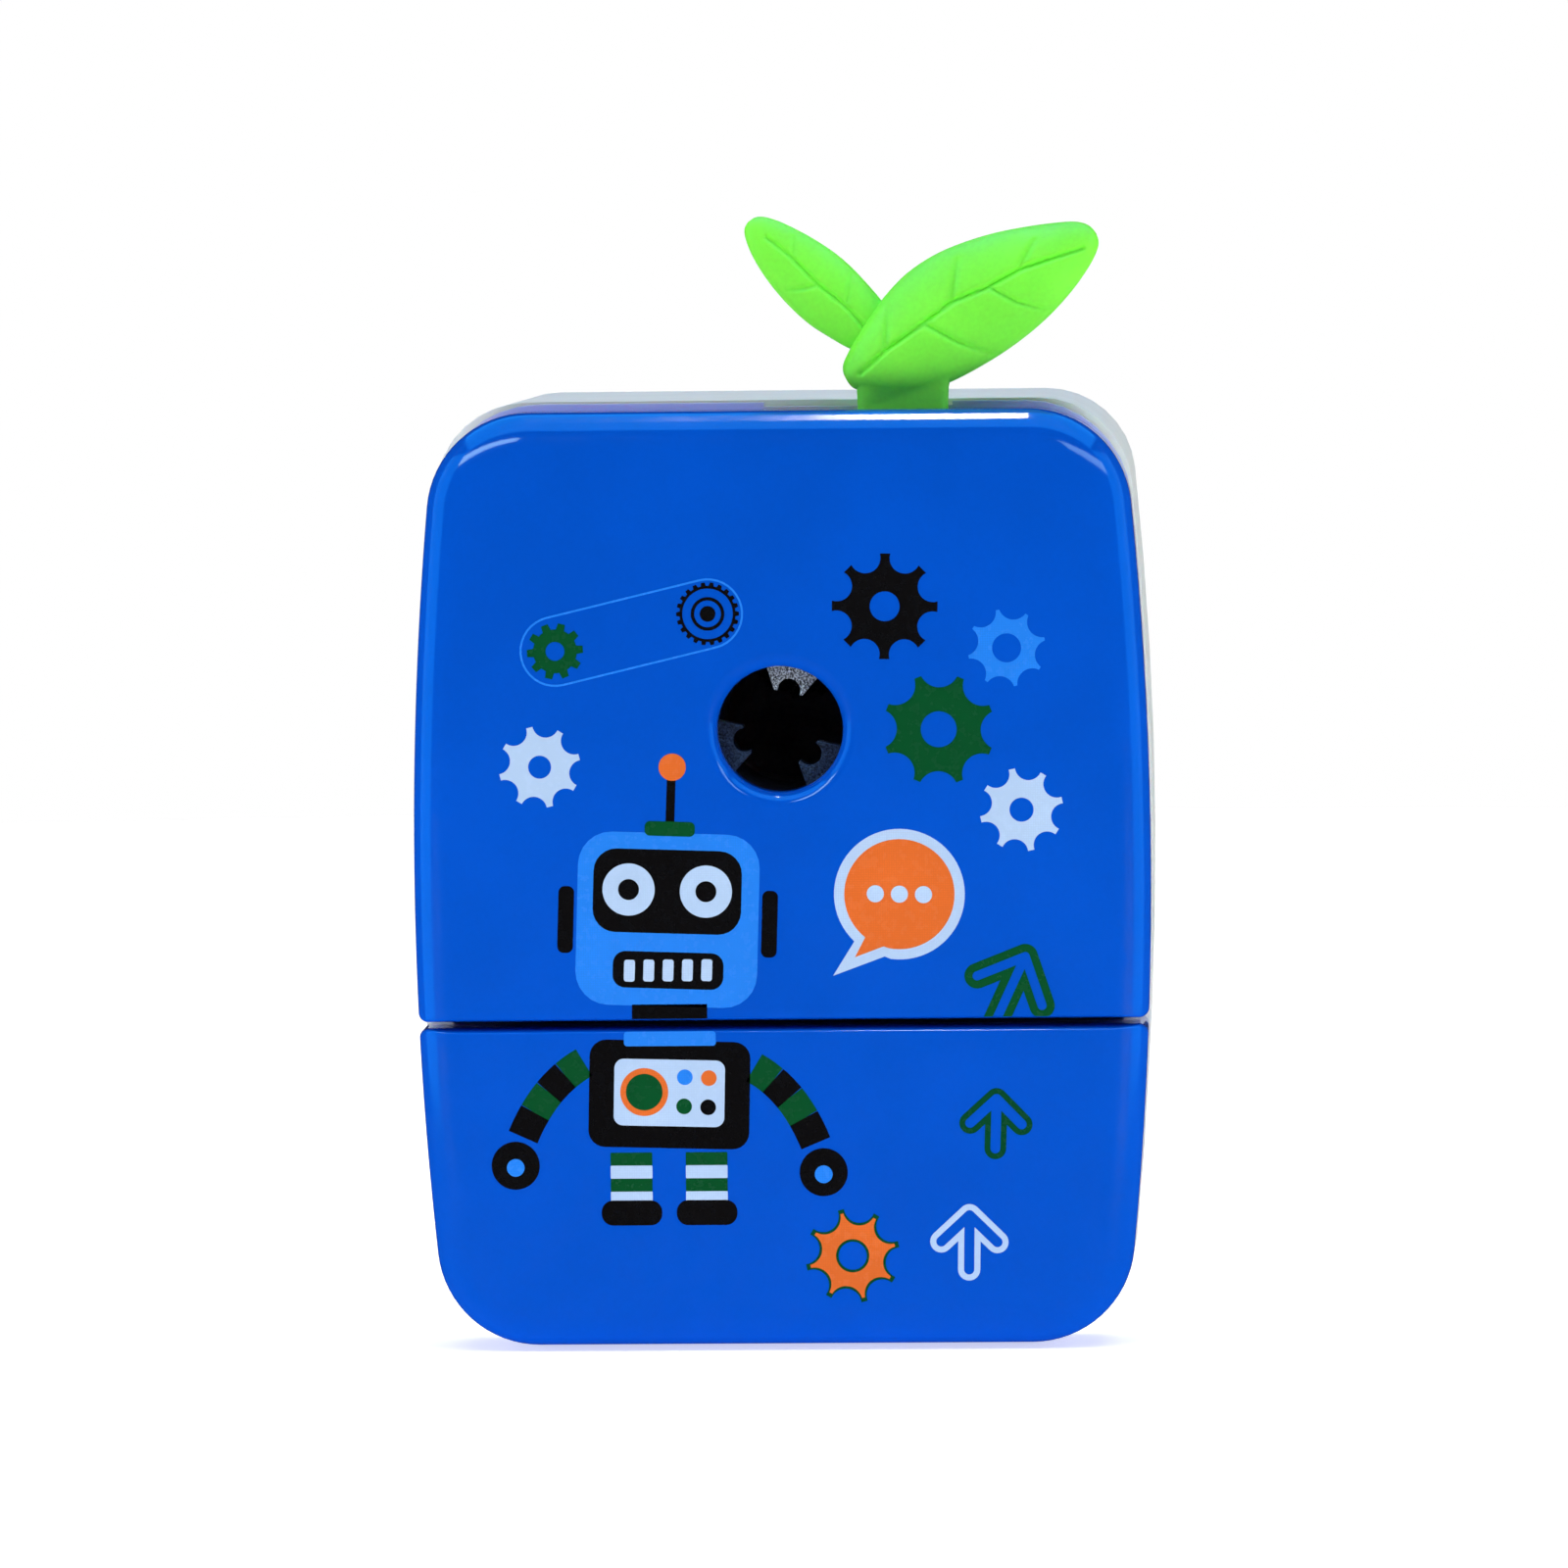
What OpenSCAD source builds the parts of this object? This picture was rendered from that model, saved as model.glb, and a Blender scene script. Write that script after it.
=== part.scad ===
// Desk pencil sharpener with a pull-out sprung front, three clamping jaws, a shavings drawer and a crank.
// +Z is up, the pencil goes in along +Y, and the origin is on the desk under the middle of the whole depth.

/* [Body] */
// Width of the body at its widest
body_w = 70.6; // [69:0.2:72]
// Height of the body from its underside to its top
body_h = 90.3; // [89:0.1:92]
// Radius of the gently bulging sides
bulge_r = 370; // [320:10:420]
// Radius of the body's corners seen from the front
corner_r = 9.8; // [8.6:0.2:10]
// Radius of the soft front edges
edge_r = 2.6; // [1.6:0.2:3]
// Thickness of the moulded walls
wall = 2.2; // [2:0.1:2.4]
// Depth of the off-white housing
house_d = 58; // [56:1:62]
// How far the rubber feet stand out below the body
foot_lift = 0.5; // [0.3:0.1:1]

/* [Front unit] */
// Depth of the front cover
cover_d = 12; // [12:0.5:13]
// Thickness of the clamp plate behind it
plate_t = 2; // [1.8:0.1:2.4]
// Height of the pencil axis above the desk
axis_h = 59.6; // [59:0.2:60.2]
// Height of the underside of the front cover
seam_h = 31.7; // [31.5:0.1:32]
// Gap between the front cover and the drawer
seam_gap = 0.6; // [0.4:0.1:0.8]
// Distance of the guide rods from the pencil axis
rod_x = 25; // [24.5:0.1:25.5]
// Radius of the guide rods
rod_r = 2; // [1.8:0.1:2.2]

/* [Pencil clamp] */
// Radius of the pencil hole
hole_r = 6; // [5.8:0.1:6.2]
// Distance of the jaw pivots from the pencil axis
pivot_r = 10; // [9.8:0.1:10.2]
// Turn of a jaw for each degree of the release lever
jaw_ratio = 2.8; // [2.7:0.05:2.9]
// Swing of the release lever in degrees
lever_swing = 16; // [14:0.5:17]
// Radius that the closed jaw teeth leave free
tooth_r = 3.7; // [3.4:0.1:4]
// Thickness of the jaws
jaw_t = 3; // [2.6:0.1:3]

/* [Cutter] */
// Half angle of the sharpened point in degrees
cone_a = 10.3; // [10:0.1:10.6]
// Length of the helical cutter
cutter_len = 20; // [18:0.5:20]
// Number of helical blades
blades = 12; // [10:1:14]
// Gear module
gear_m = 0.8; // [0.8:0.1:0.8]
// Teeth of the fixed ring gear
ring_teeth = 24; // [24:1:24]
// Teeth of the cutter pinion
pinion_teeth = 12; // [12:1:12]

/* [Crank] */
// Distance of the knob from the pencil axis
crank_r = 38; // [34:1:42]
// Length of the crank knob
knob_len = 30.2; // [26:0.2:32]
// Largest radius of the crank knob
knob_r = 7; // [6:0.2:8]

/* [Sprout] */
// Length of the large leaf
big_leaf_len = 26.8; // [24:0.2:28]
// Length of the small leaf
small_leaf_len = 17.8; // [16:0.2:18.6]

/* [Hidden] */
$fn = 64;
eps = 0.01;
fit = 0.06; // radial clearance of shafts that turn or slide

// stations along the depth
y_front = -57;
y_inner_front = y_front + wall;
y_plate = y_front + cover_d;
y_plate_back = y_plate + plate_t;
unit_gap = 0.5;
y_house = y_plate_back + unit_gap;
y_house_back = y_house + house_d;
y_wall_in = y_house_back - wall;

// heights
base_z = foot_lift;
top_z = base_z + body_h;
front_z = top_z - 0.8; // the blue front is this much lower than the housing
rim = 0.2; // how far the housing stands out past the blue sides
rear_corner_r = corner_r - 0.8;
plate_z = top_z - 0.2;
plate_corner_r = corner_r + 0.4;
bulge_z = base_z + 46; // height where the body is widest
bulge_x = body_w / 2 - bulge_r;
shelf_z = seam_h + 0.2;
shelf_t = 2;
bay_wall_z = shelf_z + shelf_t;
lower_r = 1; // small corners at the seam
seam_cut = 12; // extra height that keeps the soft edges away from the seam

// clamp
flare = 1.4; // chamfer that stands for the flared rim of the pencil hole
boss_r = 12.4;
boss_len = 4.9;
y_boss = y_plate - boss_len;
ring_out_r = 18.6;
ring_t = 4.3;
y_ring_back = y_plate - 0.4;
y_ring = y_ring_back - ring_t;
y_jaw_back = y_boss - 0.4;
y_jaw = y_jaw_back - jaw_t;
pivot_pin_r = 1.25;
drive_pin_r = 1;
pivot_lead = 28; // angle from the middle of the teeth to the pivot
pivot_hub_r = 2.5;
tooth_a = 22; // angle of a tooth tip from the middle of the jaw
tooth_depth = 1.1; // depth of the round scoop between the two teeth
tooth_land = 4.5; // angle that each blunt tip takes
drive_arm = pivot_r / (jaw_ratio - 1);
jaw_swing = jaw_ratio * lever_swing;
jaw_angles = [78, 198, 318];
lever_a = 69;
stem_x = 11.8;
stem_w = 8.4;
tab_t = 2;
y_tab = y_plate - 3;
slot_x0 = -1.7; // ends of the lever's slot
slot_x1 = stem_x + stem_w / 2 + 0.5;
slot_recess = 0.4;
post_x = 15; // seat of the jaw spring on the clamp plate
spring_drop = 20.8; // its distance below the pencil axis
lug_a = 270 - lever_swing / 2;
screw_r = 1.1;
screw_head_r = 2.3;
cover_screw_at = [[-27, 20], [27, 20], [-27, -20], [27, -20]];

// cutter
y_pinion = y_house_back - 7.5;
y_apex = y_pinion - 6;
y_cutter = y_apex - 10;
gear_offset = gear_m * (ring_teeth - pinion_teeth) / 2;
cutter_r = (gear_offset + (y_pinion - y_apex) * tan(cone_a)) * cos(cone_a);
pinion_r = gear_m * pinion_teeth / 2;
ring_r = gear_m * ring_teeth / 2;
pinion_t = 3;
y_carrier_plate = y_cutter - 14;
carrier_plate_t = 2.5;
y_rear_plate = y_apex + 1.2;
y_gear = y_pinion - 2.4;
y_hub = y_pinion + 2.8;
y_hub_back = y_hub + 2;
journal_r = 9;
shaft_r = 4;
cutter_pin_r = 1.5;
cutter_journal_r = 2.8;
pencil_bore_r = 6.5;

// rear
boss_out = 3.5;
y_boss_back = y_house_back + boss_out;
y_arm = y_boss_back + 1.3;
y_arm_back = y_arm + 5;
y_knob = y_arm_back + 1.5;
y_knob_back = y_knob + knob_len;
gear_screw_r = 16.6;
gear_screw_at = [90, 210, 330];
house_screw_at = [[-27.5, 80.5], [27.5, 80.5], [-27.5, 40.5], [27.5, 40.5]];

foot_at = [[-19, -34], [19, -34], [-19, 7], [19, 7]];
foot_r = 4;
foot_seat = 0.7; // depth of the feet's recesses

// drawer
tray_gap = 0.5;
tray_wall = 1.5;
y_tray = y_plate - 1;
y_tray_back = y_wall_in - 0.7;
tray_top = 28.4;
drawer_screw_x = 20;
drawer_screw_z = 16;

// leaves: base, width and direction of each
big_leaf_x = 6.5;
big_leaf_w = 11.4;
big_leaf_a = 29.9;
small_leaf_x = 10.2;
small_leaf_w = 7;
small_leaf_a = 138;

blue = "#0a52c8";
pale = "#c9d6ee";
white = "#e6e9e2";
green = "#6fe03c";
steel = "#b9bcc0";
dark = "#4a4d52";

// ---- outlines ----

function arc(x, z, r, a0, a1, n) =
    [for (i = [0:n]) let (a = a0 + (a1 - a0) * i / n) [x + r * cos(a), z + r * sin(a)]];

// right half of a body outline from z0 up to z1 with corner radii r0 and r1, moved inwards by d
function right_edge(z0, z1, r0, r1, d) =
    let (
        rb = max(r0 - d, 0.5),
        rt = max(r1 - d, 0.5),
        side = bulge_r - d,
        zb = z0 + d + rb,
        zt = z1 - d - rt,
        ab = asin((zb - bulge_z) / (side - rb)),
        at = asin((zt - bulge_z) / (side - rt)),
        step = (at - ab) / 8
    )
    concat(
        arc(bulge_x + (side - rb) * cos(ab), zb, rb, -90, ab, 8),
        arc(bulge_x, bulge_z, side, ab + step, at - step, 6),
        arc(bulge_x + (side - rt) * cos(at), zt, rt, at, 90, 8)
    );

function flip(p) = [for (i = [len(p) - 1:-1:0]) [-p[i][0], p[i][1]]];

function outline(z0, z1, r0, r1, d) =
    let (edge = right_edge(z0, z1, r0, r1, d))
    concat(edge, flip(edge));

function polar(r, a) = [r * cos(a), r * sin(a)];

// ---- placing ----

// extrudes a shape drawn in X and Z from y0 to y1
module along_y(y0, y1) {
    translate([0, y1, 0]) rotate([90, 0, 0]) linear_extrude(y1 - y0) children();
}

// round bar along Y
module bar(r, y0, y1, x = 0, z = axis_h) {
    translate([x, y0, z]) rotate([-90, 0, 0]) cylinder(r = r, h = y1 - y0);
}

// cone along Y with radius ra at y0 and rb at y1
module taper(ra, rb, y0, y1, x = 0, z = axis_h) {
    translate([x, y0, z]) rotate([-90, 0, 0]) cylinder(r1 = ra, r2 = rb, h = y1 - y0);
}

// shape drawn about the pencil axis, turned by a
module about_axis(y0, y1, a = 0) {
    translate([0, 0, axis_h]) along_y(y0, y1) rotate(a) children();
}

// places a shape on the cutter's tilted axis: its origin is the cutter's middle and its +Z runs to the rear
module on_cutter_axis() {
    lift = (y_apex - y_cutter) * tan(cone_a) + cutter_r / cos(cone_a);
    translate([0, y_cutter, axis_h + lift]) rotate([-90 - cone_a, 0, 0]) children();
}

// distance along the cutter's axis of the station y
function on_axis(y) = (y - y_cutter) / cos(cone_a);

// slice of the body from y0 to y1
module slice(z0, z1, r0, r1, d, y0, y1) {
    along_y(y0, y1) polygon(outline(z0, z1, r0, r1, d));
}

// [station, inset] along the depth of a block whose front or rear edges are rounded
function edge_rings(y0, y1, front, back) =
    concat(
        front > 0 ? [for (a = [90:-22.5:0]) [y0 + front * (1 - sin(a)), front * (1 - cos(a))]] : [[y0, 0]],
        back > 0 ? [for (a = [0:22.5:90]) [y1 - back * (1 - sin(a)), back * (1 - cos(a))]] : [[y1, 0]]
    );

// block with the body's outline whose front or rear edges are rounded
module soft_block(z0, z1, r1, y0, y1, front, back) {
    rings = edge_rings(y0, y1, front, back);
    n = len(outline(z0, z1, corner_r, r1, 0));
    last = (len(rings) - 1) * n;
    points = [for (ring = rings) for (p = outline(z0, z1, corner_r, r1, ring[1])) [p[0], ring[0], p[1]]];
    skin = [
        for (i = [0:len(rings) - 2]) for (j = [0:n - 1])
            [i * n + j, i * n + (j + 1) % n, (i + 1) * n + (j + 1) % n, (i + 1) * n + j]
    ];
    polyhedron(points, concat([[for (j = [n - 1:-1:0]) j]], skin, [[for (j = [0:n - 1]) last + j]]));
}

// widens a block by the rim on both sides
module scale_side() {
    scale([1 + 2 * rim / body_w, 1, 1]) children();
}

// everything in front of the housing that lies below z
module below(z) {
    translate([-body_w, y_front - 10, z - body_h]) cube([2 * body_w, y_house - y_front + 10, body_h]);
}

// everything in front of the housing that lies above z
module above(z) {
    translate([-body_w, y_front - 10, z]) cube([2 * body_w, y_house - y_front + 10, body_h]);
}

// ---- helical spring along +Z as one swept solid ----

function spring_point(r, wire, turns, len, i, n, j, sides) =
    let (a = 360 * turns * i / n, b = 360 * j / sides, rr = r + wire * cos(b))
    [rr * cos(a), rr * sin(a), wire + (len - 2 * wire) * i / n + wire * sin(b)];

module spring(r, wire, turns, len) {
    sides = 6;
    n = turns * 14;
    points = [for (i = [0:n]) for (j = [0:sides - 1]) spring_point(r, wire, turns, len, i, n, j, sides)];
    skin = [
        for (i = [0:n - 1]) for (j = [0:sides - 1])
            [i * sides + j, (i + 1) * sides + j, (i + 1) * sides + (j + 1) % sides, i * sides + (j + 1) % sides]
    ];
    first = [for (j = [0:sides - 1]) j];
    last = [for (j = [sides - 1:-1:0]) n * sides + j];
    polyhedron(points, concat([first], skin, [last]), convexity = 10);
}

// ---- gears ----

// outline of a gear with straight-sided teeth: inner radius and tooth thickness there, outer radius and
// thickness there, and the first tooth's angle
function gear_outline(n, ra, ta, rb, tb, first) =
    [
        for (i = [0:n - 1])
            let (c = first + 360 * i / n, a = asin(ta / 2 / ra), b = asin(tb / 2 / rb))
            each [polar(ra, c - a), polar(rb, c - b), polar(rb, c + b), polar(ra, c + a)]
    ];

// ---- fasteners ----

// countersunk or pan screw along Y with its head at the rear
module screw_back(y_tip, y_head, head_t, x, z) {
    difference() {
        union() {
            bar(screw_r, y_tip, y_head, x, z);
            bar(screw_head_r, y_head, y_head + head_t, x, z);
        }
        for (a = [0, 90])
            translate([x, y_head + head_t, z]) rotate([0, a, 0]) cube([2.8, 1.2, 0.6], center = true);
    }
}

// ---- housing ----

module housing_shell() {
    color(white)
    difference() {
        union() {
            difference() {
                scale_side() soft_block(base_z, top_z, rear_corner_r, y_house, y_house_back, 0, edge_r);
                // mechanism chamber
                slice(bay_wall_z - wall, top_z, lower_r + wall, rear_corner_r, wall, y_house - 1, y_wall_in);
                // drawer bay
                slice(base_z, shelf_z + wall, corner_r, lower_r + wall, wall, y_house - 1, y_wall_in);
            }
            bar(14, y_house_back - eps, y_boss_back);
            for (p = house_screw_at) {
                side = sign(p[0]);
                bar(3, y_house + 3, y_house + 14, p[0], p[1]);
                // web that ties the boss to the side wall, inside it even where the body is widest
                translate([p[0] + side * 3.25, y_house + 8.5, p[1]]) cube([5.5, 11, 2], center = true);
            }
        }
        // shavings chute
        translate([-17, y_cutter - 12, shelf_z - 1]) cube([34, 25, shelf_t + 2]);
        // seat of the rear bush
        bar(6, y_wall_in - 1, y_boss_back + 1);
        for (a = gear_screw_at) {
            p = polar(gear_screw_r, a);
            bar(1.3, y_wall_in - 1, y_house_back, p[0], axis_h + p[1]);
            bar(2.6, y_house_back - 1.4, y_house_back + 1, p[0], axis_h + p[1]);
        }
        for (p = house_screw_at) bar(screw_r, y_house + 2, y_house + 11, p[0], p[1]);
        for (p = foot_at) translate([p[0], p[1], base_z - 1]) cylinder(r = foot_r, h = 1 + foot_seat);
    }
}

module front_bulkhead() {
    play = 0.25;
    y0 = y_house + 0.5;
    y1 = y_house + 3;
    color(white)
    difference() {
        union() {
            slice(bay_wall_z - wall, top_z, lower_r + wall, rear_corner_r, wall + play, y0, y1);
            bar(11, y1 - eps, y_carrier_plate - 0.4);
        }
        bar(journal_r + fit, y0 - 1, y_carrier_plate);
        for (s = [-1, 1]) bar(3.2, y0 - 1, y1 + 1, s * rod_x);
        for (p = house_screw_at) {
            bar(1.3, y0 - 1, y1 + 1, p[0], p[1]);
            bar(2.5, y0 - 1, y0 + 1.2, p[0], p[1]);
        }
    }
}

// pan-head screws at the four corners, heads in front
module bulkhead_screws() {
    y_head = y_house + 0.5;
    color(steel)
    for (p = house_screw_at) {
        difference() {
            union() {
                bar(screw_head_r, y_head, y_head + 1.2, p[0], p[1]);
                bar(screw_r, y_head + 1.2, y_head + 9, p[0], p[1]);
            }
            for (a = [0, 90])
                translate([p[0], y_head, p[1]]) rotate([0, a, 0]) cube([2.8, 1.2, 0.6], center = true);
        }
    }
}

module guide_bushes() {
    y1 = y_house + 3;
    color(dark)
    for (s = [-1, 1]) {
        difference() {
            union() {
                bar(3.2, y1 - 2.5, y1, s * rod_x);
                bar(4.4, y1, y1 + 2, s * rod_x);
            }
            bar(rod_r + fit, y1 - 3, y1 + 3, s * rod_x);
        }
    }
}

module pencil_guide() {
    y0 = y_house + 0.5;
    color(dark)
    difference() {
        bar(journal_r + fit, y0, y_carrier_plate - 6.2);
        bar(pencil_bore_r, y0 - 1, y_carrier_plate);
        taper(8.3, pencil_bore_r, y0 - eps, y0 + 3);
    }
}

module ring_gear() {
    tip_r = ring_r - 0.55;
    root_r = ring_r + 1.1;
    color(white)
    difference() {
        union() {
            bar(13.5, y_gear, y_wall_in);
            for (a = gear_screw_at) {
                p = polar(gear_screw_r, a);
                bar(2.8, y_gear + 2, y_wall_in, p[0], axis_h + p[1]);
                about_axis(y_gear + 2, y_wall_in, a) translate([12.8, -2.8]) square([gear_screw_r - 12.8, 5.6]);
            }
        }
        // tooth spaces and bore
        about_axis(y_gear - 1, y_gear + 4.8)
            polygon(gear_outline(ring_teeth, tip_r, 1.72, root_r, 0.96, 90));
        bar(12.3, y_gear + 4.8 - eps, y_wall_in + 1);
        for (a = gear_screw_at) {
            p = polar(gear_screw_r, a);
            bar(screw_r, y_gear + 3.4, y_wall_in + 1, p[0], axis_h + p[1]);
        }
    }
}

module gear_screws() {
    color(steel)
    for (a = gear_screw_at) {
        p = polar(gear_screw_r, a);
        screw_back(y_gear + 4, y_house_back - 1.4, 1.3, p[0], axis_h + p[1]);
    }
}

module rear_bush() {
    color(dark)
    difference() {
        union() {
            bar(6, y_wall_in, y_boss_back);
            bar(7.6, y_boss_back, y_boss_back + 0.7);
        }
        bar(shaft_r + fit, y_wall_in - 1, y_boss_back + 2);
    }
}

module rubber_feet() {
    color(dark)
    for (p = foot_at) translate([p[0], p[1], 0]) cylinder(r = foot_r, h = base_z + foot_seat);
}

// ---- front unit ----

module front_cover() {
    color(blue)
    difference() {
        union() {
            difference() {
                soft_block(seam_h - seam_cut, front_z, corner_r, y_front, y_plate, edge_r, 0);
                below(seam_h);
                slice(seam_h, front_z, lower_r, corner_r, wall, y_inner_front, y_plate + 1);
            }
            bar(8.4, y_inner_front - eps, y_jaw - 0.45);
            for (p = cover_screw_at) bar(3, y_inner_front - eps, y_plate, p[0], axis_h + p[1]);
        }
        bar(hole_r, y_front - 1, y_jaw);
        taper(hole_r + flare + eps, hole_r, y_front - eps, y_front + flare);
        for (p = cover_screw_at) bar(screw_r, y_plate - 7, y_plate + 1, p[0], axis_h + p[1]);
        translate([slot_x0, y_plate - 4.4, front_z - wall - 1]) cube([slot_x1 - slot_x0, 6, wall + 2]);
    }
}

module clamp_plate() {
    color(pale)
    difference() {
        union() {
            slice(seam_h, plate_z, lower_r, plate_corner_r, 0, y_plate, y_plate_back);
            bar(boss_r, y_boss, y_plate + eps);
            for (s = [-1, 1]) bar(4, y_plate - 2, y_plate + eps, s * rod_x);
            translate([post_x, y_plate - 5, axis_h - spring_drop - 2.6]) cube([2.6, 5 + eps, 5.2]);
        }
        // recess behind the lever's slot
        translate([slot_x0, y_plate - 1, plate_z - slot_recess]) cube([slot_x1 - slot_x0, plate_t + 2, 2]);
        bar(pencil_bore_r + 0.3, y_boss - 1, y_plate_back + 1);
        for (s = [-1, 1]) bar(rod_r, y_plate - 1.6, y_plate_back + 1, s * rod_x);
        for (a = jaw_angles) {
            p = polar(pivot_r, a + pivot_lead);
            bar(pivot_pin_r, y_boss - 1, y_boss + 3, p[0], axis_h + p[1]);
        }
        for (p = cover_screw_at) {
            bar(1.3, y_plate - 1, y_plate_back + 1, p[0], axis_h + p[1]);
            bar(2.5, y_plate_back - 1.1, y_plate_back + 1, p[0], axis_h + p[1]);
        }
    }
}

module cover_screws() {
    color(steel)
    for (p = cover_screw_at) screw_back(y_plate - 6.5, y_plate_back - 1.1, 1.1, p[0], axis_h + p[1]);
}

module guide_rod(s) {
    color(steel)
    difference() {
        bar(rod_r, y_plate - 1.6, y_plate + 51, s * rod_x);
        // groove of the clip
        difference() {
            bar(rod_r + 1, y_plate + 49.5, y_plate + 50.3, s * rod_x);
            bar(rod_r - 0.5, y_plate + 49, y_plate + 51, s * rod_x);
        }
    }
}

module rod_clips() {
    color(dark)
    for (s = [-1, 1]) {
        difference() {
            bar(4.2, y_plate + 49.5, y_plate + 50.3, s * rod_x);
            bar(rod_r - 0.5, y_plate + 49, y_plate + 51, s * rod_x);
            translate([s * rod_x - 1.3, y_plate + 49, axis_h - 5]) cube([2.6, 2, 4]);
        }
    }
}

module return_spring(s) {
    y0 = y_house + 5;
    color(steel)
    translate([s * rod_x, y0, axis_h]) rotate([-90, 0, 0]) spring(3, 0.35, 14, y_plate + 49.5 - y0);
}

module jaw_pins() {
    color(steel)
    for (a = jaw_angles) {
        p = polar(pivot_r, a + pivot_lead);
        bar(pivot_pin_r, y_boss + 0.2, y_boss + 3, p[0], axis_h + p[1]);
        bar(pivot_pin_r, y_jaw - 0.6, y_boss + 0.2 + eps, p[0], axis_h + p[1]);
    }
}

// pushes the lug of the release ring towards the closed side
module ring_spring() {
    lug = polar(spring_drop, lug_a);
    x0 = lug[0] + 2.3;
    color(steel)
    translate([x0, y_plate - 2.6, axis_h - spring_drop])
        rotate([0, 90, 0]) spring(1.9, 0.25, 9, post_x - x0);
}

// ---- release lever ----

module release_ring() {
    y_tab_back = y_tab + tab_t;
    slot_w = 2 * (drive_pin_r + 0.05);
    color(white)
    difference() {
        union() {
            bar(ring_out_r, y_ring, y_ring_back);
            about_axis(y_tab, y_tab_back, lever_a) translate([ring_out_r - 2, -3.2]) square([11, 6.4]);
            translate([stem_x - 2.5, y_tab, axis_h + 23.5]) cube([5, tab_t, 9.9]);
            about_axis(y_ring, y_ring_back, lug_a) translate([ring_out_r - 1, -1.5]) square([5.6, 3]);
        }
        bar(boss_r + fit, y_ring - 1, y_ring_back + 1);
        for (a = jaw_angles)
            about_axis(y_ring - 1, y_ring_back + 1, a + pivot_lead - lever_swing / 2)
                translate([boss_r - 2, -slot_w / 2]) square([6.4, slot_w]);
    }
}

// half width of a leaf along its length, from 0 at the base to 0 at the tip
function leaf_width(u) = pow(sin(180 * pow(u, 0.85)), 0.72);

// puffy leaf along +X with its base at the origin, bowed upwards in Y and thick in Z
module leaf(length, width, thick, bow) {
    rings = 14;
    sides = 18;
    points = [
        for (i = [0:rings]) let (u = 0.004 + 0.992 * i / rings, w = leaf_width(u))
            for (j = [0:sides - 1]) [
                length * u,
                bow * sin(180 * u) + width / 2 * w * cos(360 * j / sides),
                thick / 2 * pow(w, 0.8) * sin(360 * j / sides)
            ]
    ];
    skin = [
        for (i = [0:rings - 1]) for (j = [0:sides - 1])
            [i * sides + j, (i + 1) * sides + j, (i + 1) * sides + (j + 1) % sides, i * sides + (j + 1) % sides]
    ];
    first = [for (j = [0:sides - 1]) j];
    last = [for (j = [sides - 1:-1:0]) rings * sides + j];
    polyhedron(points, concat([first], skin, [last]), convexity = 4);
}

module leaf_grip() {
    y_stem = y_tab - 1;
    y_stem_back = y_tab + tab_t + 0.7;
    color(green)
    difference() {
        union() {
            translate([stem_x - stem_w / 2, y_stem, axis_h + 26.8]) cube([stem_w, y_stem_back - y_stem, 8.6]);
            translate([big_leaf_x, y_tab + 0.6, axis_h + 33.2]) rotate([90, 0, 0]) rotate(big_leaf_a)
                leaf(big_leaf_len, big_leaf_w, 6.6, 0.4);
            translate([small_leaf_x, y_tab + 1.6, axis_h + 36.4]) rotate([90, 0, 0]) rotate(small_leaf_a)
                leaf(small_leaf_len, small_leaf_w, 4.6, -0.4);
        }
        // socket of the lever's tab
        translate([stem_x - 2.5, y_tab, axis_h + 25]) cube([5, tab_t, 8.4]);
    }
}

// ---- jaws ----

// toothed jaw for the direction a, drawn about the pencil axis with its teeth around the +X direction
module jaw(a) {
    pivot = polar(pivot_r, pivot_lead);
    arm_a = pivot_lead - jaw_swing / 2;
    arm_half = 1.9;
    drive = pivot + polar(drive_arm, arm_a);
    side = polar(arm_half, arm_a + 90);
    rib = polar(2.4, pivot_lead + 122);
    flank_r = 6.4;
    // scoop through the inner corners of the tips
    tip = polar(tooth_r, tooth_a - tooth_land);
    sink = tooth_r + tooth_depth - tip[0];
    scoop_r = (tip[1] * tip[1] + sink * sink) / (2 * sink);
    color(steel)
    difference() {
        union() {
            about_axis(y_jaw, y_jaw_back, a) {
                polygon([
                    polar(tooth_r, -tooth_a), polar(tooth_r, tooth_a), polar(flank_r, tooth_a + 3),
                    pivot + rib, pivot - rib, polar(flank_r + 2.2, -tooth_a + 5), polar(flank_r, -tooth_a - 3)
                ]);
                translate(pivot) circle(pivot_hub_r);
                polygon([pivot - side, drive - side, drive + side, pivot + side]);
                translate(drive) circle(arm_half);
            }
            about_axis(y_jaw_back - eps, y_ring_back - 0.9, a) translate(drive) circle(drive_pin_r);
        }
        about_axis(y_jaw - 1, y_jaw_back + 1, a) {
            translate(pivot) circle(pivot_pin_r + 0.05);
            translate([tooth_r + tooth_depth - scoop_r, 0]) circle(scoop_r);
        }
    }
}

// ---- drawer ----

module drawer_front() {
    z1 = seam_h - seam_gap;
    color(blue)
    difference() {
        union() {
            difference() {
                soft_block(base_z, z1 + seam_cut, corner_r, y_front, y_plate_back, edge_r, 0);
                above(z1);
                slice(base_z, z1, corner_r, lower_r, wall, y_inner_front, y_plate_back + 1);
            }
            for (s = [-1, 1]) bar(3.2, y_inner_front - eps, y_tray, s * drawer_screw_x, drawer_screw_z);
        }
        for (s = [-1, 1]) bar(screw_r, y_tray - 6, y_tray + 1, s * drawer_screw_x, drawer_screw_z);
    }
}

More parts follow.
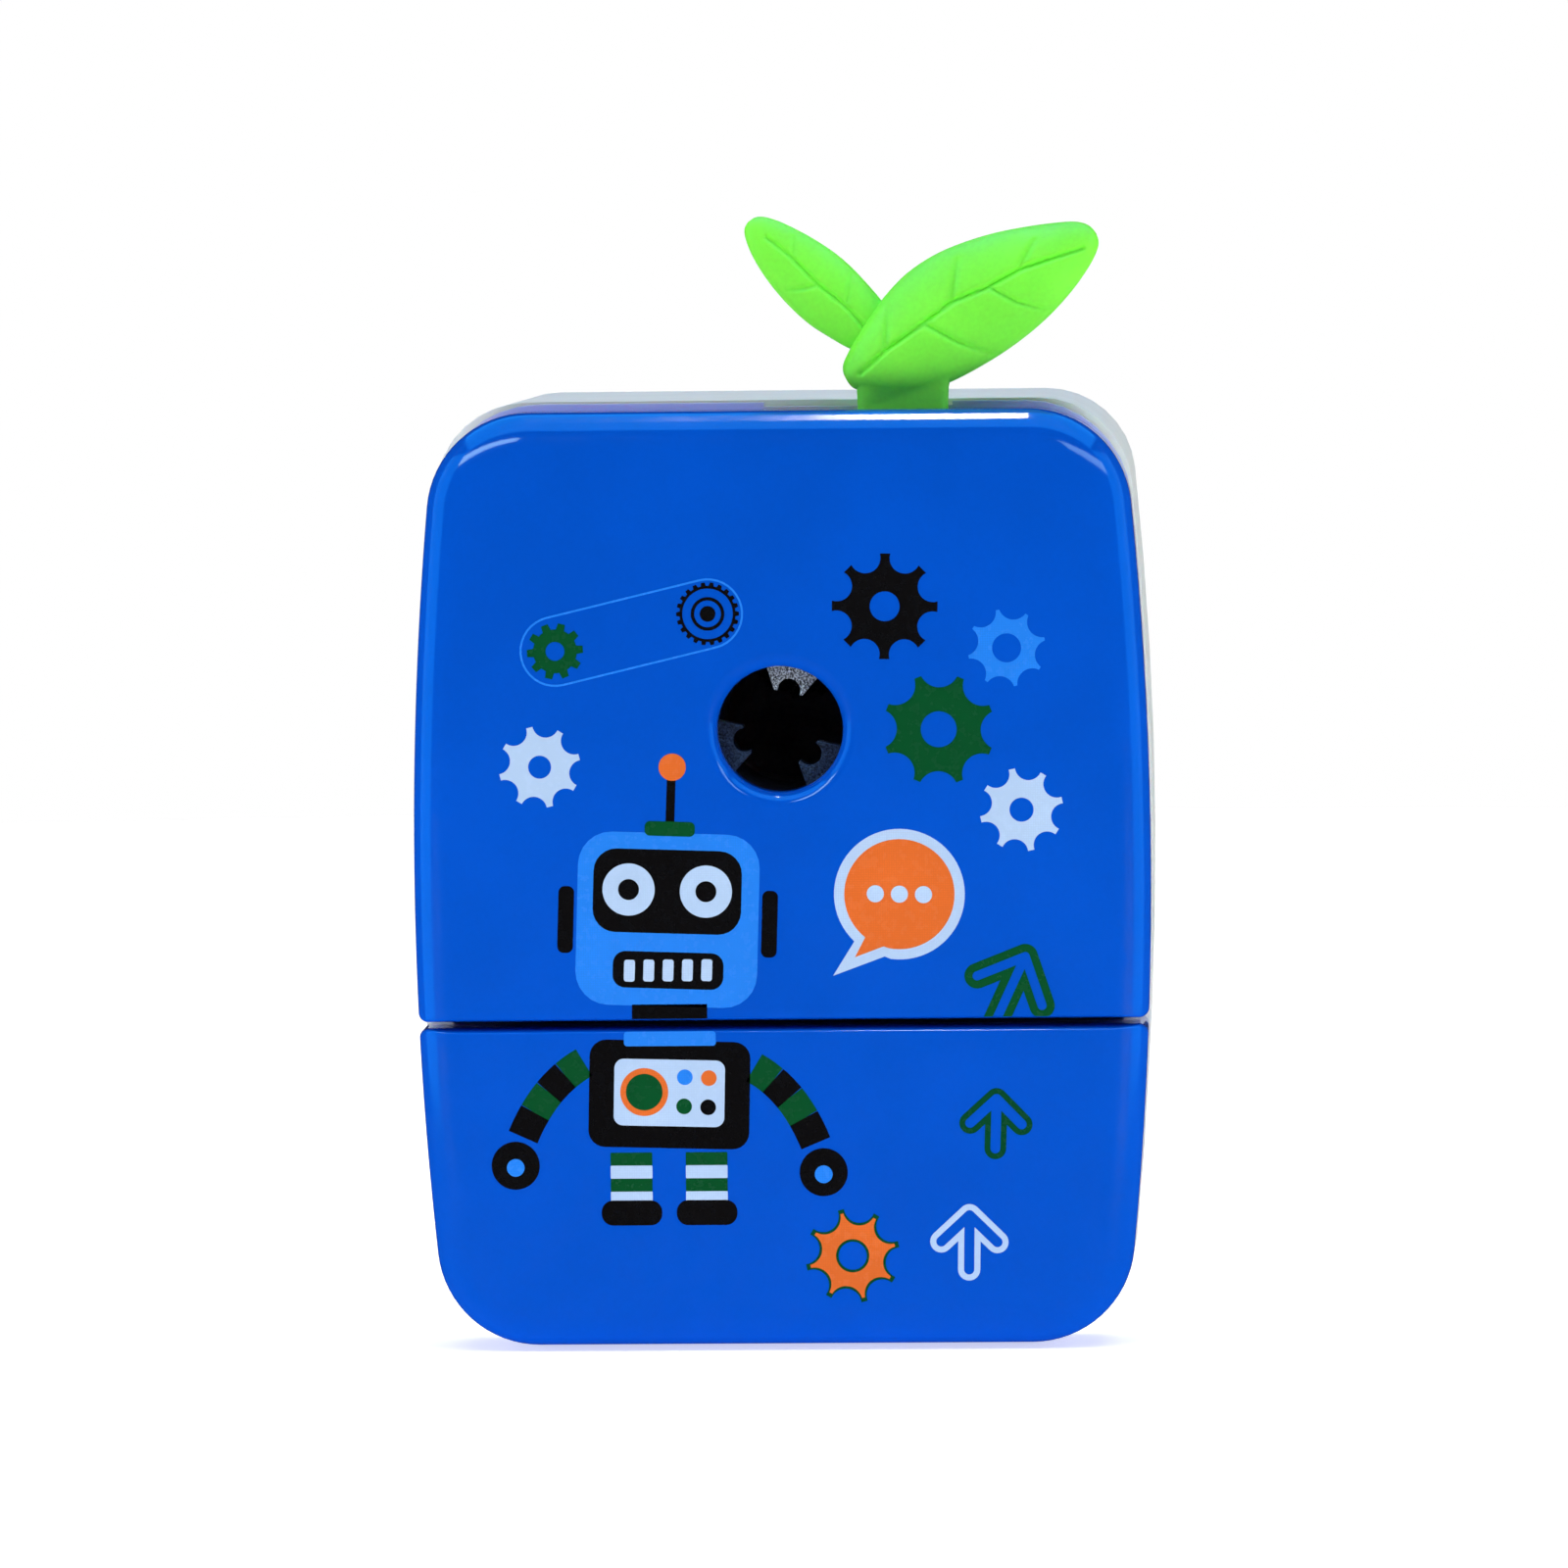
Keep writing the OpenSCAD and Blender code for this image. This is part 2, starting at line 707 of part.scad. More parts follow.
module drawer_tray() {
    d = wall + tray_gap;
    color(pale)
    difference() {
        slice(base_z, tray_top + d, corner_r, lower_r, d, y_tray, y_tray_back);
        slice(base_z, tray_top + d + 20, corner_r, lower_r, d + tray_wall, y_tray + tray_wall,
            y_tray_back - tray_wall);
        for (s = [-1, 1]) bar(1.3, y_tray - 1, y_tray + 3, s * drawer_screw_x, drawer_screw_z);
    }
}

module drawer_screws() {
    color(steel)
    for (s = [-1, 1]) screw_back(y_tray - 5, y_tray + tray_wall, 1.2, s * drawer_screw_x, drawer_screw_z);
}

// ---- crank and cutter ----

module cutter_carrier() {
    y_plate_end = y_carrier_plate + carrier_plate_t;
    cage_r = 14.5;
    bridge_r = 8.3;
    color(dark)
    difference() {
        union() {
            bar(journal_r, y_carrier_plate - 5.8, y_carrier_plate + eps);
            bar(16.5, y_carrier_plate, y_plate_end);
            // half shell opposite the cutter, open at the bottom for the shavings
            difference() {
                bar(cage_r, y_plate_end - eps, y_rear_plate + eps);
                bar(cage_r - 2, y_plate_end - 1, y_rear_plate + 1);
                translate([-20, y_plate_end - 1, axis_h - 3]) cube([40, 30, 30]);
                translate([-6, y_plate_end + 3, axis_h - 20]) cube([12, y_rear_plate - y_plate_end - 6, 20]);
            }
            bar(cage_r, y_rear_plate, y_rear_plate + 2);
            // bridge that passes the pinion inside the ring gear
            difference() {
                bar(bridge_r, y_rear_plate + 2 - eps, y_hub + eps);
                bar(pinion_r + 1.3, y_rear_plate + 2, y_hub, 0, axis_h + gear_offset);
            }
            bar(bridge_r, y_hub, y_hub_back);
            bar(shaft_r, y_hub_back - eps, y_arm + 4.2);
        }
        bar(pencil_bore_r, y_carrier_plate - 7, y_plate_end + 1);
        on_cutter_axis() {
            translate([0, 0, -20]) cylinder(r = cutter_pin_r, h = 10);
            translate([0, 0, on_axis(y_rear_plate) - 1]) cylinder(r = cutter_journal_r + fit, h = 4.4);
        }
        bar(1.2, y_arm - 4, y_arm + 5);
    }
}

module cutter_axle_pin() {
    z0 = on_axis(y_carrier_plate) + 0.45;
    color(steel)
    on_cutter_axis() translate([0, 0, z0]) cylinder(r = cutter_pin_r, h = on_axis(y_pinion) + 1.75 - z0);
}

module helical_cutter() {
    root = cutter_r - 0.9;
    star = [for (i = [0:blades - 1]) let (a = 360 * i / blades)
        each [polar(cutter_r, a), polar(root, a + 5), polar(root, a + 0.72 * 360 / blades)]];
    color(steel)
    on_cutter_axis()
    difference() {
        union() {
            translate([0, 0, -cutter_len / 2])
                linear_extrude(cutter_len, twist = -100, slices = 20) polygon(star);
            translate([0, 0, cutter_len / 2 - 1])
                cylinder(r = cutter_journal_r, h = on_axis(y_pinion) + 1.6 - cutter_len / 2 + 1);
        }
        translate([0, 0, -cutter_len]) cylinder(r = cutter_pin_r + 0.05, h = 3 * cutter_len);
    }
}

module cutter_pinion() {
    tip_r = pinion_r + 0.5;
    root_r = pinion_r - 0.95;
    color(dark)
    on_cutter_axis()
    translate([0, 0, on_axis(y_pinion) - pinion_t / 2])
    difference() {
        linear_extrude(pinion_t) polygon(gear_outline(pinion_teeth, root_r, 1.6, tip_r, 0.64, 0));
        translate([0, 0, -1]) cylinder(r = cutter_journal_r, h = pinion_t + 2);
    }
}

module crank_arm() {
    z_knob = axis_h - crank_r;
    color(blue)
    difference() {
        union() {
            bar(7.5, y_arm, y_arm_back);
            along_y(y_arm + 1.5, y_arm_back)
                polygon([[-6.6, axis_h], [6.6, axis_h], [5.3, z_knob], [-5.3, z_knob]]);
            bar(5.5, y_arm + 1.5, y_arm_back + 1, 0, z_knob);
        }
        bar(shaft_r, y_arm - 1, y_arm + 4.2);
        bar(1.6, y_arm, y_arm_back + 1);
        bar(1.75, y_arm, y_arm_back + 2, 0, z_knob);
    }
}

module crank_washer() {
    color(steel)
    difference() {
        bar(7, y_boss_back + 0.8, y_arm);
        bar(shaft_r + fit, y_boss_back, y_arm + 1);
    }
}

module crank_screw() {
    color(steel)
    difference() {
        union() {
            bar(1.2, y_arm - 3.5, y_arm_back + eps);
            bar(3.6, y_arm_back, y_arm_back + 2);
        }
        for (a = [0, 90])
            translate([0, y_arm_back + 2, axis_h]) rotate([0, a, 0]) cube([4.4, 2, 0.9], center = true);
    }
}

module knob_pin() {
    z_knob = axis_h - crank_r;
    color(steel)
    difference() {
        union() {
            bar(1.75, y_arm + 1.5, y_knob_back - 1.9, 0, z_knob);
            bar(3.2, y_knob_back - 2, y_knob_back - 0.6, 0, z_knob);
        }
        translate([0, y_knob_back - 0.6, z_knob]) rotate([-90, 0, 0]) cylinder(r = 0.9, h = 0.8, center = true);
    }
}

// radius of the knob at the share u of its length
function knob_profile(u) = knob_r - 1.4 * pow(abs(2 * u - 1.1), 2.2);

module crank_knob() {
    n = 12;
    round_r = 1.2;
    body = [for (i = [0:n]) let (u = i / n) [knob_profile(u), round_r + (knob_len - 2 * round_r) * u]];
    profile = concat(
        [[0, 0], [knob_profile(0) - round_r, 0]],
        body,
        [[knob_profile(1) - round_r, knob_len], [0, knob_len]]
    );
    color(white)
    translate([0, y_knob, axis_h - crank_r]) rotate([-90, 0, 0])
    difference() {
        rotate_extrude() polygon(profile);
        translate([0, 0, -1]) cylinder(r = 1.75 + fit, h = knob_len + 2);
        translate([0, 0, knob_len - 2.2]) cylinder(r = 3.5, h = 3);
    }
}

// ---- the whole object ----

housing_shell();
front_bulkhead();
bulkhead_screws();
guide_bushes();
pencil_guide();
ring_gear();
gear_screws();
rear_bush();
rubber_feet();
front_cover();
clamp_plate();
cover_screws();
guide_rod(-1);  // guide_rod_left
guide_rod(1);  // guide_rod_right
rod_clips();
return_spring(-1);  // return_spring_left
return_spring(1);  // return_spring_right
jaw_pins();
ring_spring();
release_ring();
leaf_grip();
jaw(jaw_angles[0]);  // jaw_top
jaw(jaw_angles[1]);  // jaw_left
jaw(jaw_angles[2]);  // jaw_right
drawer_front();
drawer_tray();
drawer_screws();
cutter_carrier();
cutter_axle_pin();
crank_arm();
crank_washer();
crank_screw();
knob_pin();
helical_cutter();
cutter_pinion();
crank_knob();
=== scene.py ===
"""Looks of the crank pencil sharpener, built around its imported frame. Lengths in the code are millimetres."""

import math

import bmesh
import bpy
from mathutils import Matrix, Vector


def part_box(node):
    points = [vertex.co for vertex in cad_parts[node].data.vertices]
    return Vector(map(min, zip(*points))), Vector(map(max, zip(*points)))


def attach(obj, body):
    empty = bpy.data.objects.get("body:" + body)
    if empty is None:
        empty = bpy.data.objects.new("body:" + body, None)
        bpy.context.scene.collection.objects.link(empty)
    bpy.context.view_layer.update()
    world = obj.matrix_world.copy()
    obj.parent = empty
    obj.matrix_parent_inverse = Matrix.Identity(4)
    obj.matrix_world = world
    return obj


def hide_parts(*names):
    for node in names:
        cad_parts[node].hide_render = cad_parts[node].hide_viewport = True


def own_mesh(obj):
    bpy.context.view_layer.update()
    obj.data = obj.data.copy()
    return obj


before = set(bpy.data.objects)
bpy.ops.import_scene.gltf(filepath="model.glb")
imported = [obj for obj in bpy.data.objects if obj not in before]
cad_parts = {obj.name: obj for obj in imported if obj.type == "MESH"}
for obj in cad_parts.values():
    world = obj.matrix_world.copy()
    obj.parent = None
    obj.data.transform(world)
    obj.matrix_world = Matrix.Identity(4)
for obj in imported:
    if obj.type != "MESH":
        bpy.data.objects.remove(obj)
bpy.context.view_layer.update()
scene = bpy.context.scene
MM = 0.001

# stations and sizes of the design
Y_FRONT, Y_PLATE, Y_PLATE_BACK = -57.0, -45.0, -43.0
BASE_Z, FRONT_Z = 0.5, 90.0
SEAM_Z, DRAWER_Z = 31.7, 31.1
HALF_W, BULGE_R, BULGE_Z = 35.3, 370.0, 46.5
CORNER_R, SEAM_CORNER_R = 9.8, 0.9
EDGE_R, WALL = 2.6, 2.2
AXIS_Z, HOLE_R = 59.6, 6.0


# ---- materials ----

def linear(rgb):
    """8-bit sRGB to linear, with alpha."""
    out = []
    for v in rgb:
        v = v / 255
        out.append(v / 12.92 if v <= 0.04045 else ((v + 0.055) / 1.055) ** 2.4)
    return (*out, 1.0)


def lighter(rgb, k):
    return tuple(min(255, max(0, v * k)) for v in rgb)


class Shade:
    """A Principled material whose colour, roughness and bump come from noise in object space."""

    def __init__(self, name, **fixed):
        self.mat = bpy.data.materials.new(name)
        self.mat.use_nodes = True
        self.tree = self.mat.node_tree
        self.out = self.tree.nodes["Material Output"]
        self.bsdf = self.tree.nodes["Principled BSDF"]
        self.coords = self.tree.nodes.new("ShaderNodeTexCoord").outputs["Object"]
        for key, value in fixed.items():
            self.bsdf.inputs[key.replace("_", " ")].default_value = value

    def node(self, kind, **values):
        n = self.tree.nodes.new(kind)
        for key, value in values.items():
            setattr(n, key, value)
        return n

    def link(self, a, b):
        self.tree.links.new(a, b)

    def noise(self, per_mm, detail=2.0, rough=0.5, stretch=None):
        n = self.node("ShaderNodeTexNoise")
        n.inputs["Scale"].default_value = per_mm * 1000
        n.inputs["Detail"].default_value = detail
        n.inputs["Roughness"].default_value = rough
        src = self.coords
        if stretch:
            m = self.node("ShaderNodeMapping")
            m.inputs["Scale"].default_value = stretch
            self.link(src, m.inputs["Vector"])
            src = m.outputs["Vector"]
        self.link(src, n.inputs["Vector"])
        return n.outputs["Fac"]

    def ramp(self, fac, a, b, lo=0.35, hi=0.65):
        """A value or colour that runs from a to b as fac runs from lo to hi."""
        r = self.node("ShaderNodeMapRange" if isinstance(a, float) else "ShaderNodeValToRGB")
        if isinstance(a, float):
            for key, v in (("From Min", lo), ("From Max", hi), ("To Min", a), ("To Max", b)):
                r.inputs[key].default_value = v
            self.link(fac, r.inputs["Value"])
            return r.outputs["Result"]
        r.color_ramp.elements[0].position, r.color_ramp.elements[1].position = lo, hi
        r.color_ramp.elements[0].color, r.color_ramp.elements[1].color = a, b
        self.link(fac, r.inputs["Fac"])
        return r.outputs["Color"]

    def colour(self, rgb, spread=0.04, per_mm=0.08):
        """Slow cloudy colour variation and a finer mottling on top."""
        slow = self.noise(per_mm, 3.0)
        fine = self.noise(2.2, 2.0)
        mix = self.node("ShaderNodeMath", operation="MULTIPLY_ADD")
        mix.inputs[1].default_value = 0.35
        self.link(fine, mix.inputs[0])
        self.link(slow, mix.inputs[2])
        darkest, lightest = linear(lighter(rgb, 1 - spread)), linear(lighter(rgb, 1 + spread))
        self.link(self.ramp(mix.outputs[0], darkest, lightest, 0.5, 0.85), self.bsdf.inputs["Base Color"])
        return self

    def rough(self, lo, hi, per_mm=0.6, detail=4.0, stretch=None):
        noise = self.noise(per_mm, detail, stretch=stretch)
        self.link(self.ramp(noise, lo, hi), self.bsdf.inputs["Roughness"])
        return self

    def bump(self, layers):
        """layers of (features per mm, height in mm, stretch or None)."""
        total = None
        for per_mm, height, stretch in layers:
            n = self.noise(per_mm, 3.0, stretch=stretch)
            m = self.node("ShaderNodeMath", operation="MULTIPLY")
            m.inputs[1].default_value = height * MM
            self.link(n, m.inputs[0])
            if total is not None:
                add = self.node("ShaderNodeMath", operation="ADD")
                self.link(total, add.inputs[0])
                self.link(m.outputs[0], add.inputs[1])
                total = add.outputs[0]
            else:
                total = m.outputs[0]
        b = self.node("ShaderNodeBump")
        b.inputs["Distance"].default_value = 1.0
        b.inputs["Strength"].default_value = 1.0
        self.link(total, b.inputs["Height"])
        self.link(b.outputs["Normal"], self.bsdf.inputs["Normal"])
        return self


def gloss_plastic(name, rgb, lo=0.07, hi=0.11, spec=0.4, spread=0.02, bump=0.0012):
    s = Shade(name, Specular_IOR_Level=spec)
    return s.colour(rgb, spread).rough(lo, hi).bump([(0.05, 2 * bump, None), (1.5, bump, None)]).mat


def soft_plastic(name, rgb, lo=0.42, hi=0.56, spec=0.3, spread=0.012, grain=0.006, sss=0.0):
    s = Shade(name, Specular_IOR_Level=spec, Subsurface_Weight=sss, Subsurface_Scale=0.004)
    return s.colour(rgb, spread).rough(lo, hi).bump([(0.12, 0.008, None), (5.0, grain, None)]).mat


def metal(name, rgb, lo, hi, per_mm, bump, stretch=None):
    s = Shade(name, Metallic=0.6)
    s.colour(rgb, 0.09, 0.25).rough(lo, hi, per_mm, stretch=stretch)
    return s.bump([(per_mm, bump, stretch), (per_mm * 3, bump * 0.4, stretch)]).mat


def sandblasted(name, rgb, dark=0.35):
    """Cast steel with a bright sparkling grain."""
    s = Shade(name, Metallic=0.55)
    grain = s.noise(5.5, 3.0, 0.7)
    speckle = s.ramp(grain, linear(lighter(rgb, dark)), linear(lighter(rgb, 1.35)), 0.42, 0.6)
    s.link(speckle, s.bsdf.inputs["Base Color"])
    return s.rough(0.2, 0.5, 4.0).bump([(5.5, 0.06, None)]).mat


BLUE = (0, 80, 198)
MAT = {
    "blue": gloss_plastic("blue_plastic", BLUE),
    "blue_matt": soft_plastic("blue_crank_plastic", (2, 72, 196), 0.3, 0.42),
    "pale": soft_plastic("pale_plastic", (198, 210, 240), 0.32, 0.45, sss=0.15),
    "white": soft_plastic("white_plastic", (234, 239, 235), 0.33, 0.46, sss=0.1),
    "lever": soft_plastic("lever_plastic", (222, 226, 224), 0.36, 0.5),
    "green": soft_plastic("green_plastic", (124, 248, 62), 0.46, 0.62, 0.2, 0.03, 0.003, sss=0.2),
    "rubber": soft_plastic("rubber", (36, 37, 39), 0.68, 0.85, 0.2, 0.12, 0.012),
    "dark": soft_plastic("dark_plastic", (62, 65, 70), 0.4, 0.55, spread=0.08),
    "smoke": soft_plastic("guide_plastic", (88, 92, 100), 0.34, 0.48, spread=0.07),
    "jaw": sandblasted("sand_cast_steel", (176, 184, 190)),
    # painted shade: the left and right jaws are the same steel as the top jaw, made much darker to stand for
    # the shade inside the pencil hole
    "jaw_painted_shade": sandblasted("jaw_steel_painted_shade", (48, 56, 74), 0.7),
    "rod": metal("ground_steel", (206, 208, 212), 0.14, 0.24, 1.2, 0.0012, (1, 6, 1)),
    "spring": metal("spring_steel", (170, 172, 178), 0.22, 0.36, 2.5, 0.002),
    "screw": metal("plated_steel", (184, 184, 186), 0.22, 0.36, 2.2, 0.0012),
    "cutter": metal("tool_steel", (150, 152, 158), 0.2, 0.36, 1.8, 0.004, (1, 0.25, 1)),
    "cast": metal("zinc_casting", (158, 160, 164), 0.42, 0.62, 2.6, 0.03),
}


DOTS_PER_METRE = 4500


def printed(name, rgb, dots=0.03):
    """Screen-printed ink: a fine dot screen in the colour and a slight film texture."""
    s = Shade("print_" + name, Specular_IOR_Level=0.2)
    v = s.node("ShaderNodeTexVoronoi", feature="F1")
    v.inputs["Scale"].default_value = DOTS_PER_METRE
    v.inputs["Randomness"].default_value = 0.15
    s.link(s.coords, v.inputs["Vector"])
    fac = s.node("ShaderNodeMath", operation="ADD")
    s.link(v.outputs["Distance"], fac.inputs[0])
    s.link(s.noise(0.12, 2.0), fac.inputs[1])
    screen = s.ramp(fac.outputs[0], linear(lighter(rgb, 1 + dots)), linear(lighter(rgb, 1 - dots)), 0.6, 1.3)
    s.link(screen, s.bsdf.inputs["Base Color"])
    return s.rough(0.2, 0.3, 1.5).bump([(6.0, 0.002, None)]).mat


INK = {
    "white": printed("white", (180, 207, 241)),
    "sky": printed("sky", (34, 130, 240)),
    "black": printed("black", (14, 12, 13), 0.15),
    "green": printed("green", (3, 74, 38)),
    "leaf": printed("leaf", (4, 80, 38)),
    "orange": printed("orange", (226, 108, 42)),
}


# ---- mesh building ----

def add_mesh(name, verts, faces, mat):
    mesh = bpy.data.meshes.new(name)
    mesh.from_pydata([(x * MM, y * MM, z * MM) for x, y, z in verts], [], faces)
    obj = bpy.data.objects.new(name, mesh)
    scene.collection.objects.link(obj)
    bm = bmesh.new()
    bm.from_mesh(mesh)
    bmesh.ops.remove_doubles(bm, verts=bm.verts, dist=1e-8)
    bmesh.ops.recalc_face_normals(bm, faces=bm.faces)
    bm.to_mesh(mesh)
    bm.free()
    mesh.materials.append(mat)
    return obj


def bake(obj):
    """Applies the modifiers."""
    graph = bpy.context.evaluated_depsgraph_get()
    mesh = bpy.data.meshes.new_from_object(obj.evaluated_get(graph))
    obj.modifiers.clear()
    obj.data = mesh
    return obj


def combine(obj, others, operation):
    """Exact boolean of obj with each of the others, which are used up."""
    for other in others:
        m = obj.modifiers.new("cut", "BOOLEAN")
        m.operation, m.object, m.solver = operation, other, "EXACT"
    bake(obj)
    for other in others:
        bpy.data.objects.remove(other)
    return obj


def smooth(obj, angle):
    """Smooth shading that keeps flat faces flat and the edges over an angle in degrees sharp."""
    obj.data.shade_smooth()
    obj.data.set_sharp_from_angle(angle=math.radians(angle))
    w = obj.modifiers.new("flat_faces", "WEIGHTED_NORMAL")
    w.keep_sharp = True
    w.weight = 80
    return obj


def put(obj, body, slot, *nodes):
    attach(obj, body)
    if nodes:
        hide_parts(*nodes)
    return obj


def arc(cx, cz, r, a0, a1, n):
    return [(cx + r * math.cos(a0 + (a1 - a0) * i / n), cz + r * math.sin(a0 + (a1 - a0) * i / n))
            for i in range(n + 1)]


def outline(z0, z1, r0, r1, d=0.0, bottom=None, top=None, half=HALF_W):
    """Closed loop of (x, z) of the body, inset d at the sides and bottom and top at the ends."""
    bottom = d if bottom is None else bottom
    top = d if top is None else top
    rb, rt = max(r0 - max(d, bottom), 0.25), max(r1 - max(d, top), 0.25)
    side, cx = BULGE_R - d, half - BULGE_R
    zb, zt = z0 + bottom + rb, z1 - top - rt
    ab = math.asin((zb - BULGE_Z) / (side - rb))
    at = math.asin((zt - BULGE_Z) / (side - rt))
    step = (at - ab) / 20
    edge = arc(cx + (side - rb) * math.cos(ab), zb, rb, -math.pi / 2, ab, 16)
    edge += arc(cx, BULGE_Z, side, ab + step, at - step, 18)
    edge += arc(cx + (side - rt) * math.cos(at), zt, rt, at, math.pi / 2, 16)
    return edge + [(-x, z) for x, z in reversed(edge)]


def loft(name, rings, mat):
    """Closed solid through rings of (y, loop), the first and last capped."""
    n = len(rings[0][1])
    verts = [(x, y, z) for y, loop in rings for x, z in loop]
    faces = [[i * n + j, i * n + (j + 1) % n, (i + 1) * n + (j + 1) % n, (i + 1) * n + j]
             for i in range(len(rings) - 1) for j in range(n)]
    faces += [list(range(n)), list(range((len(rings) - 1) * n, len(rings) * n))]
    return add_mesh(name, verts, faces, mat)


def lathe(name, profile, mat, x=0.0, z=AXIS_Z, n=72):
    """Solid of revolution about a line along Y through (x, z), from a profile of (y, radius)."""
    loops = [(y, [(x + r * math.cos(math.tau * i / n), z + r * math.sin(math.tau * i / n)) for i in range(n)])
             for y, r in profile]
    return loft(name, loops, mat)


def block(name, lo, hi, mat):
    (x0, y0, z0), (x1, y1, z1) = lo, hi
    return loft(name, [(y, [(x0, z0), (x1, z0), (x1, z1), (x0, z1)]) for y in (y0, y1)], mat)


def rounding(y, radius, steps, facing):
    """[(station, inset)] of a rounded edge with its end face at y, facing -1 to the front or 1 to the rear."""
    out = []
    for i in range(steps + 1):
        a = math.pi / 2 * i / steps
        out.append((y - facing * radius * (1 - math.sin(a)), radius * (1 - math.cos(a))))
    return out


# ---- blue front cover and drawer front ----

EDGE_SPREAD = 1.5  # the front edge rounds further across the face than in depth
SEAM_SOFT = 0.11  # share of the front edge's rounding that reaches the seam


def front_shell(name, z0, z1, r0, r1, y_back, seam_at_bottom):
    """Moulded shell open to the rear, rounded at the front and nearly square at the seam."""
    def ring(y, d, inner=0.0):
        soft = d * SEAM_SOFT + inner
        bottom, top = (soft, d + inner) if seam_at_bottom else (d + inner, soft)
        return (y, outline(z0, z1, r0, r1, d + inner, bottom, top))
    outer = [ring(y, d * EDGE_SPREAD) for y, d in reversed(rounding(Y_FRONT, EDGE_R, 12, -1))]
    outer += [ring(y_back - 0.25, 0.0), ring(y_back - 0.07, 0.07), ring(y_back, 0.25)]
    inner_y = Y_FRONT + WALL
    inner = [ring(y_back, 0.0, WALL), ring(inner_y + 1.2, 0.0, WALL), ring(inner_y + 0.35, 0.35, WALL),
             ring(inner_y, 1.2, WALL)]
    return loft(name, outer + inner, MAT["blue"])


def rods(points, radius, y0, y1, n=24):
    return [lathe("boss", [(y0, radius), (y1, radius)], MAT["blue"], x, z, n) for x, z in points]


SCREW_R = 1.1
COVER_BOSSES = [(x, z) for z in (79.6, 39.6) for x in (-27, 27)]
COLLAR_R, COLLAR_BACK = 8.4, -53.75
FLARE = 1.4  # round lip of the pencil hole
SLOT_LEFT, SLOT_RIGHT, SLOT_FRONT, SLOT_FLOOR = -1.7, 16.5, -49.4, 86.0

cover = front_shell("front_cover_skin", SEAM_Z, FRONT_Z, SEAM_CORNER_R, CORNER_R, Y_PLATE, True)
collar = lathe("collar", [(Y_FRONT + WALL - 0.4, COLLAR_R), (COLLAR_BACK, COLLAR_R)], MAT["blue"], n=96)
combine(cover, rods(COVER_BOSSES, 3, Y_FRONT + WALL - 0.3, Y_PLATE) + [collar], "UNION")
flare = [(Y_FRONT - 3, HOLE_R + FLARE)] + [
    (Y_FRONT + FLARE * (1 - math.cos(t)), HOLE_R + FLARE * (1 - math.sin(t)))
    for t in (math.pi / 2 * i / 10 for i in range(11))] + [(Y_FRONT + 4, HOLE_R)]
slot = block("slot", (SLOT_LEFT, SLOT_FRONT, SLOT_FLOOR), (SLOT_RIGHT, Y_PLATE + 1, FRONT_Z + 2), MAT["blue"])
combine(cover, [lathe("hole", flare, MAT["blue"], n=96), slot] + rods(COVER_BOSSES, SCREW_R, -52, -44),
        "DIFFERENCE")
put(smooth(cover, 30), "front_unit", "blue_plastic", "front_cover")

DRAWER_BOSSES = [(-20, 16), (20, 16)]
drawer = front_shell("drawer_front_skin", BASE_Z, DRAWER_Z, CORNER_R, SEAM_CORNER_R, Y_PLATE_BACK, False)
combine(drawer, rods(DRAWER_BOSSES, 3.2, Y_FRONT + WALL - 0.3, -46), "UNION")
combine(drawer, rods(DRAWER_BOSSES, SCREW_R, -52, -45), "DIFFERENCE")
put(smooth(drawer, 30), "drawer", "blue_plastic", "drawer_front")


# ---- sprout lever cap ----

def spread_of(stations, s):
    """Half width at s, straight between stations of (place, half width)."""
    for (s0, w0), (s1, w1) in zip(stations, stations[1:]):
        if s <= s1:
            return w0 + (w1 - w0) * (s - s0) / (s1 - s0)
    return 0.0


def rounded(stations, rounds=2):
    """Chaikin corner cutting, which keeps the first and last station."""
    for _ in range(rounds):
        new = [stations[0]]
        for (a, b), (c, d) in zip(stations, stations[1:]):
            new += [(a * 0.75 + c * 0.25, b * 0.75 + d * 0.25), (a * 0.25 + c * 0.75, b * 0.25 + d * 0.75)]
        stations = new + [stations[-1]]
    return stations


def off_line(p, a, b):
    """Distance of p from the line a-b, and the share of the line at which it lies."""
    ax, az, bx, bz = *a, *b
    dx, dz = bx - ax, bz - az
    t = ((p[0] - ax) * dx + (p[1] - az) * dz) / (dx * dx + dz * dz)
    t = min(1.0, max(0.0, t))
    return math.hypot(p[0] - ax - t * dx, p[1] - az - t * dz), t


VEIN_WIDTH = 0.24
FULL_HALF_WIDTH = 4.2  # a leaf has its full thickness where it is this wide
BACK_SHARE = 0.8  # thickness of the back against the front


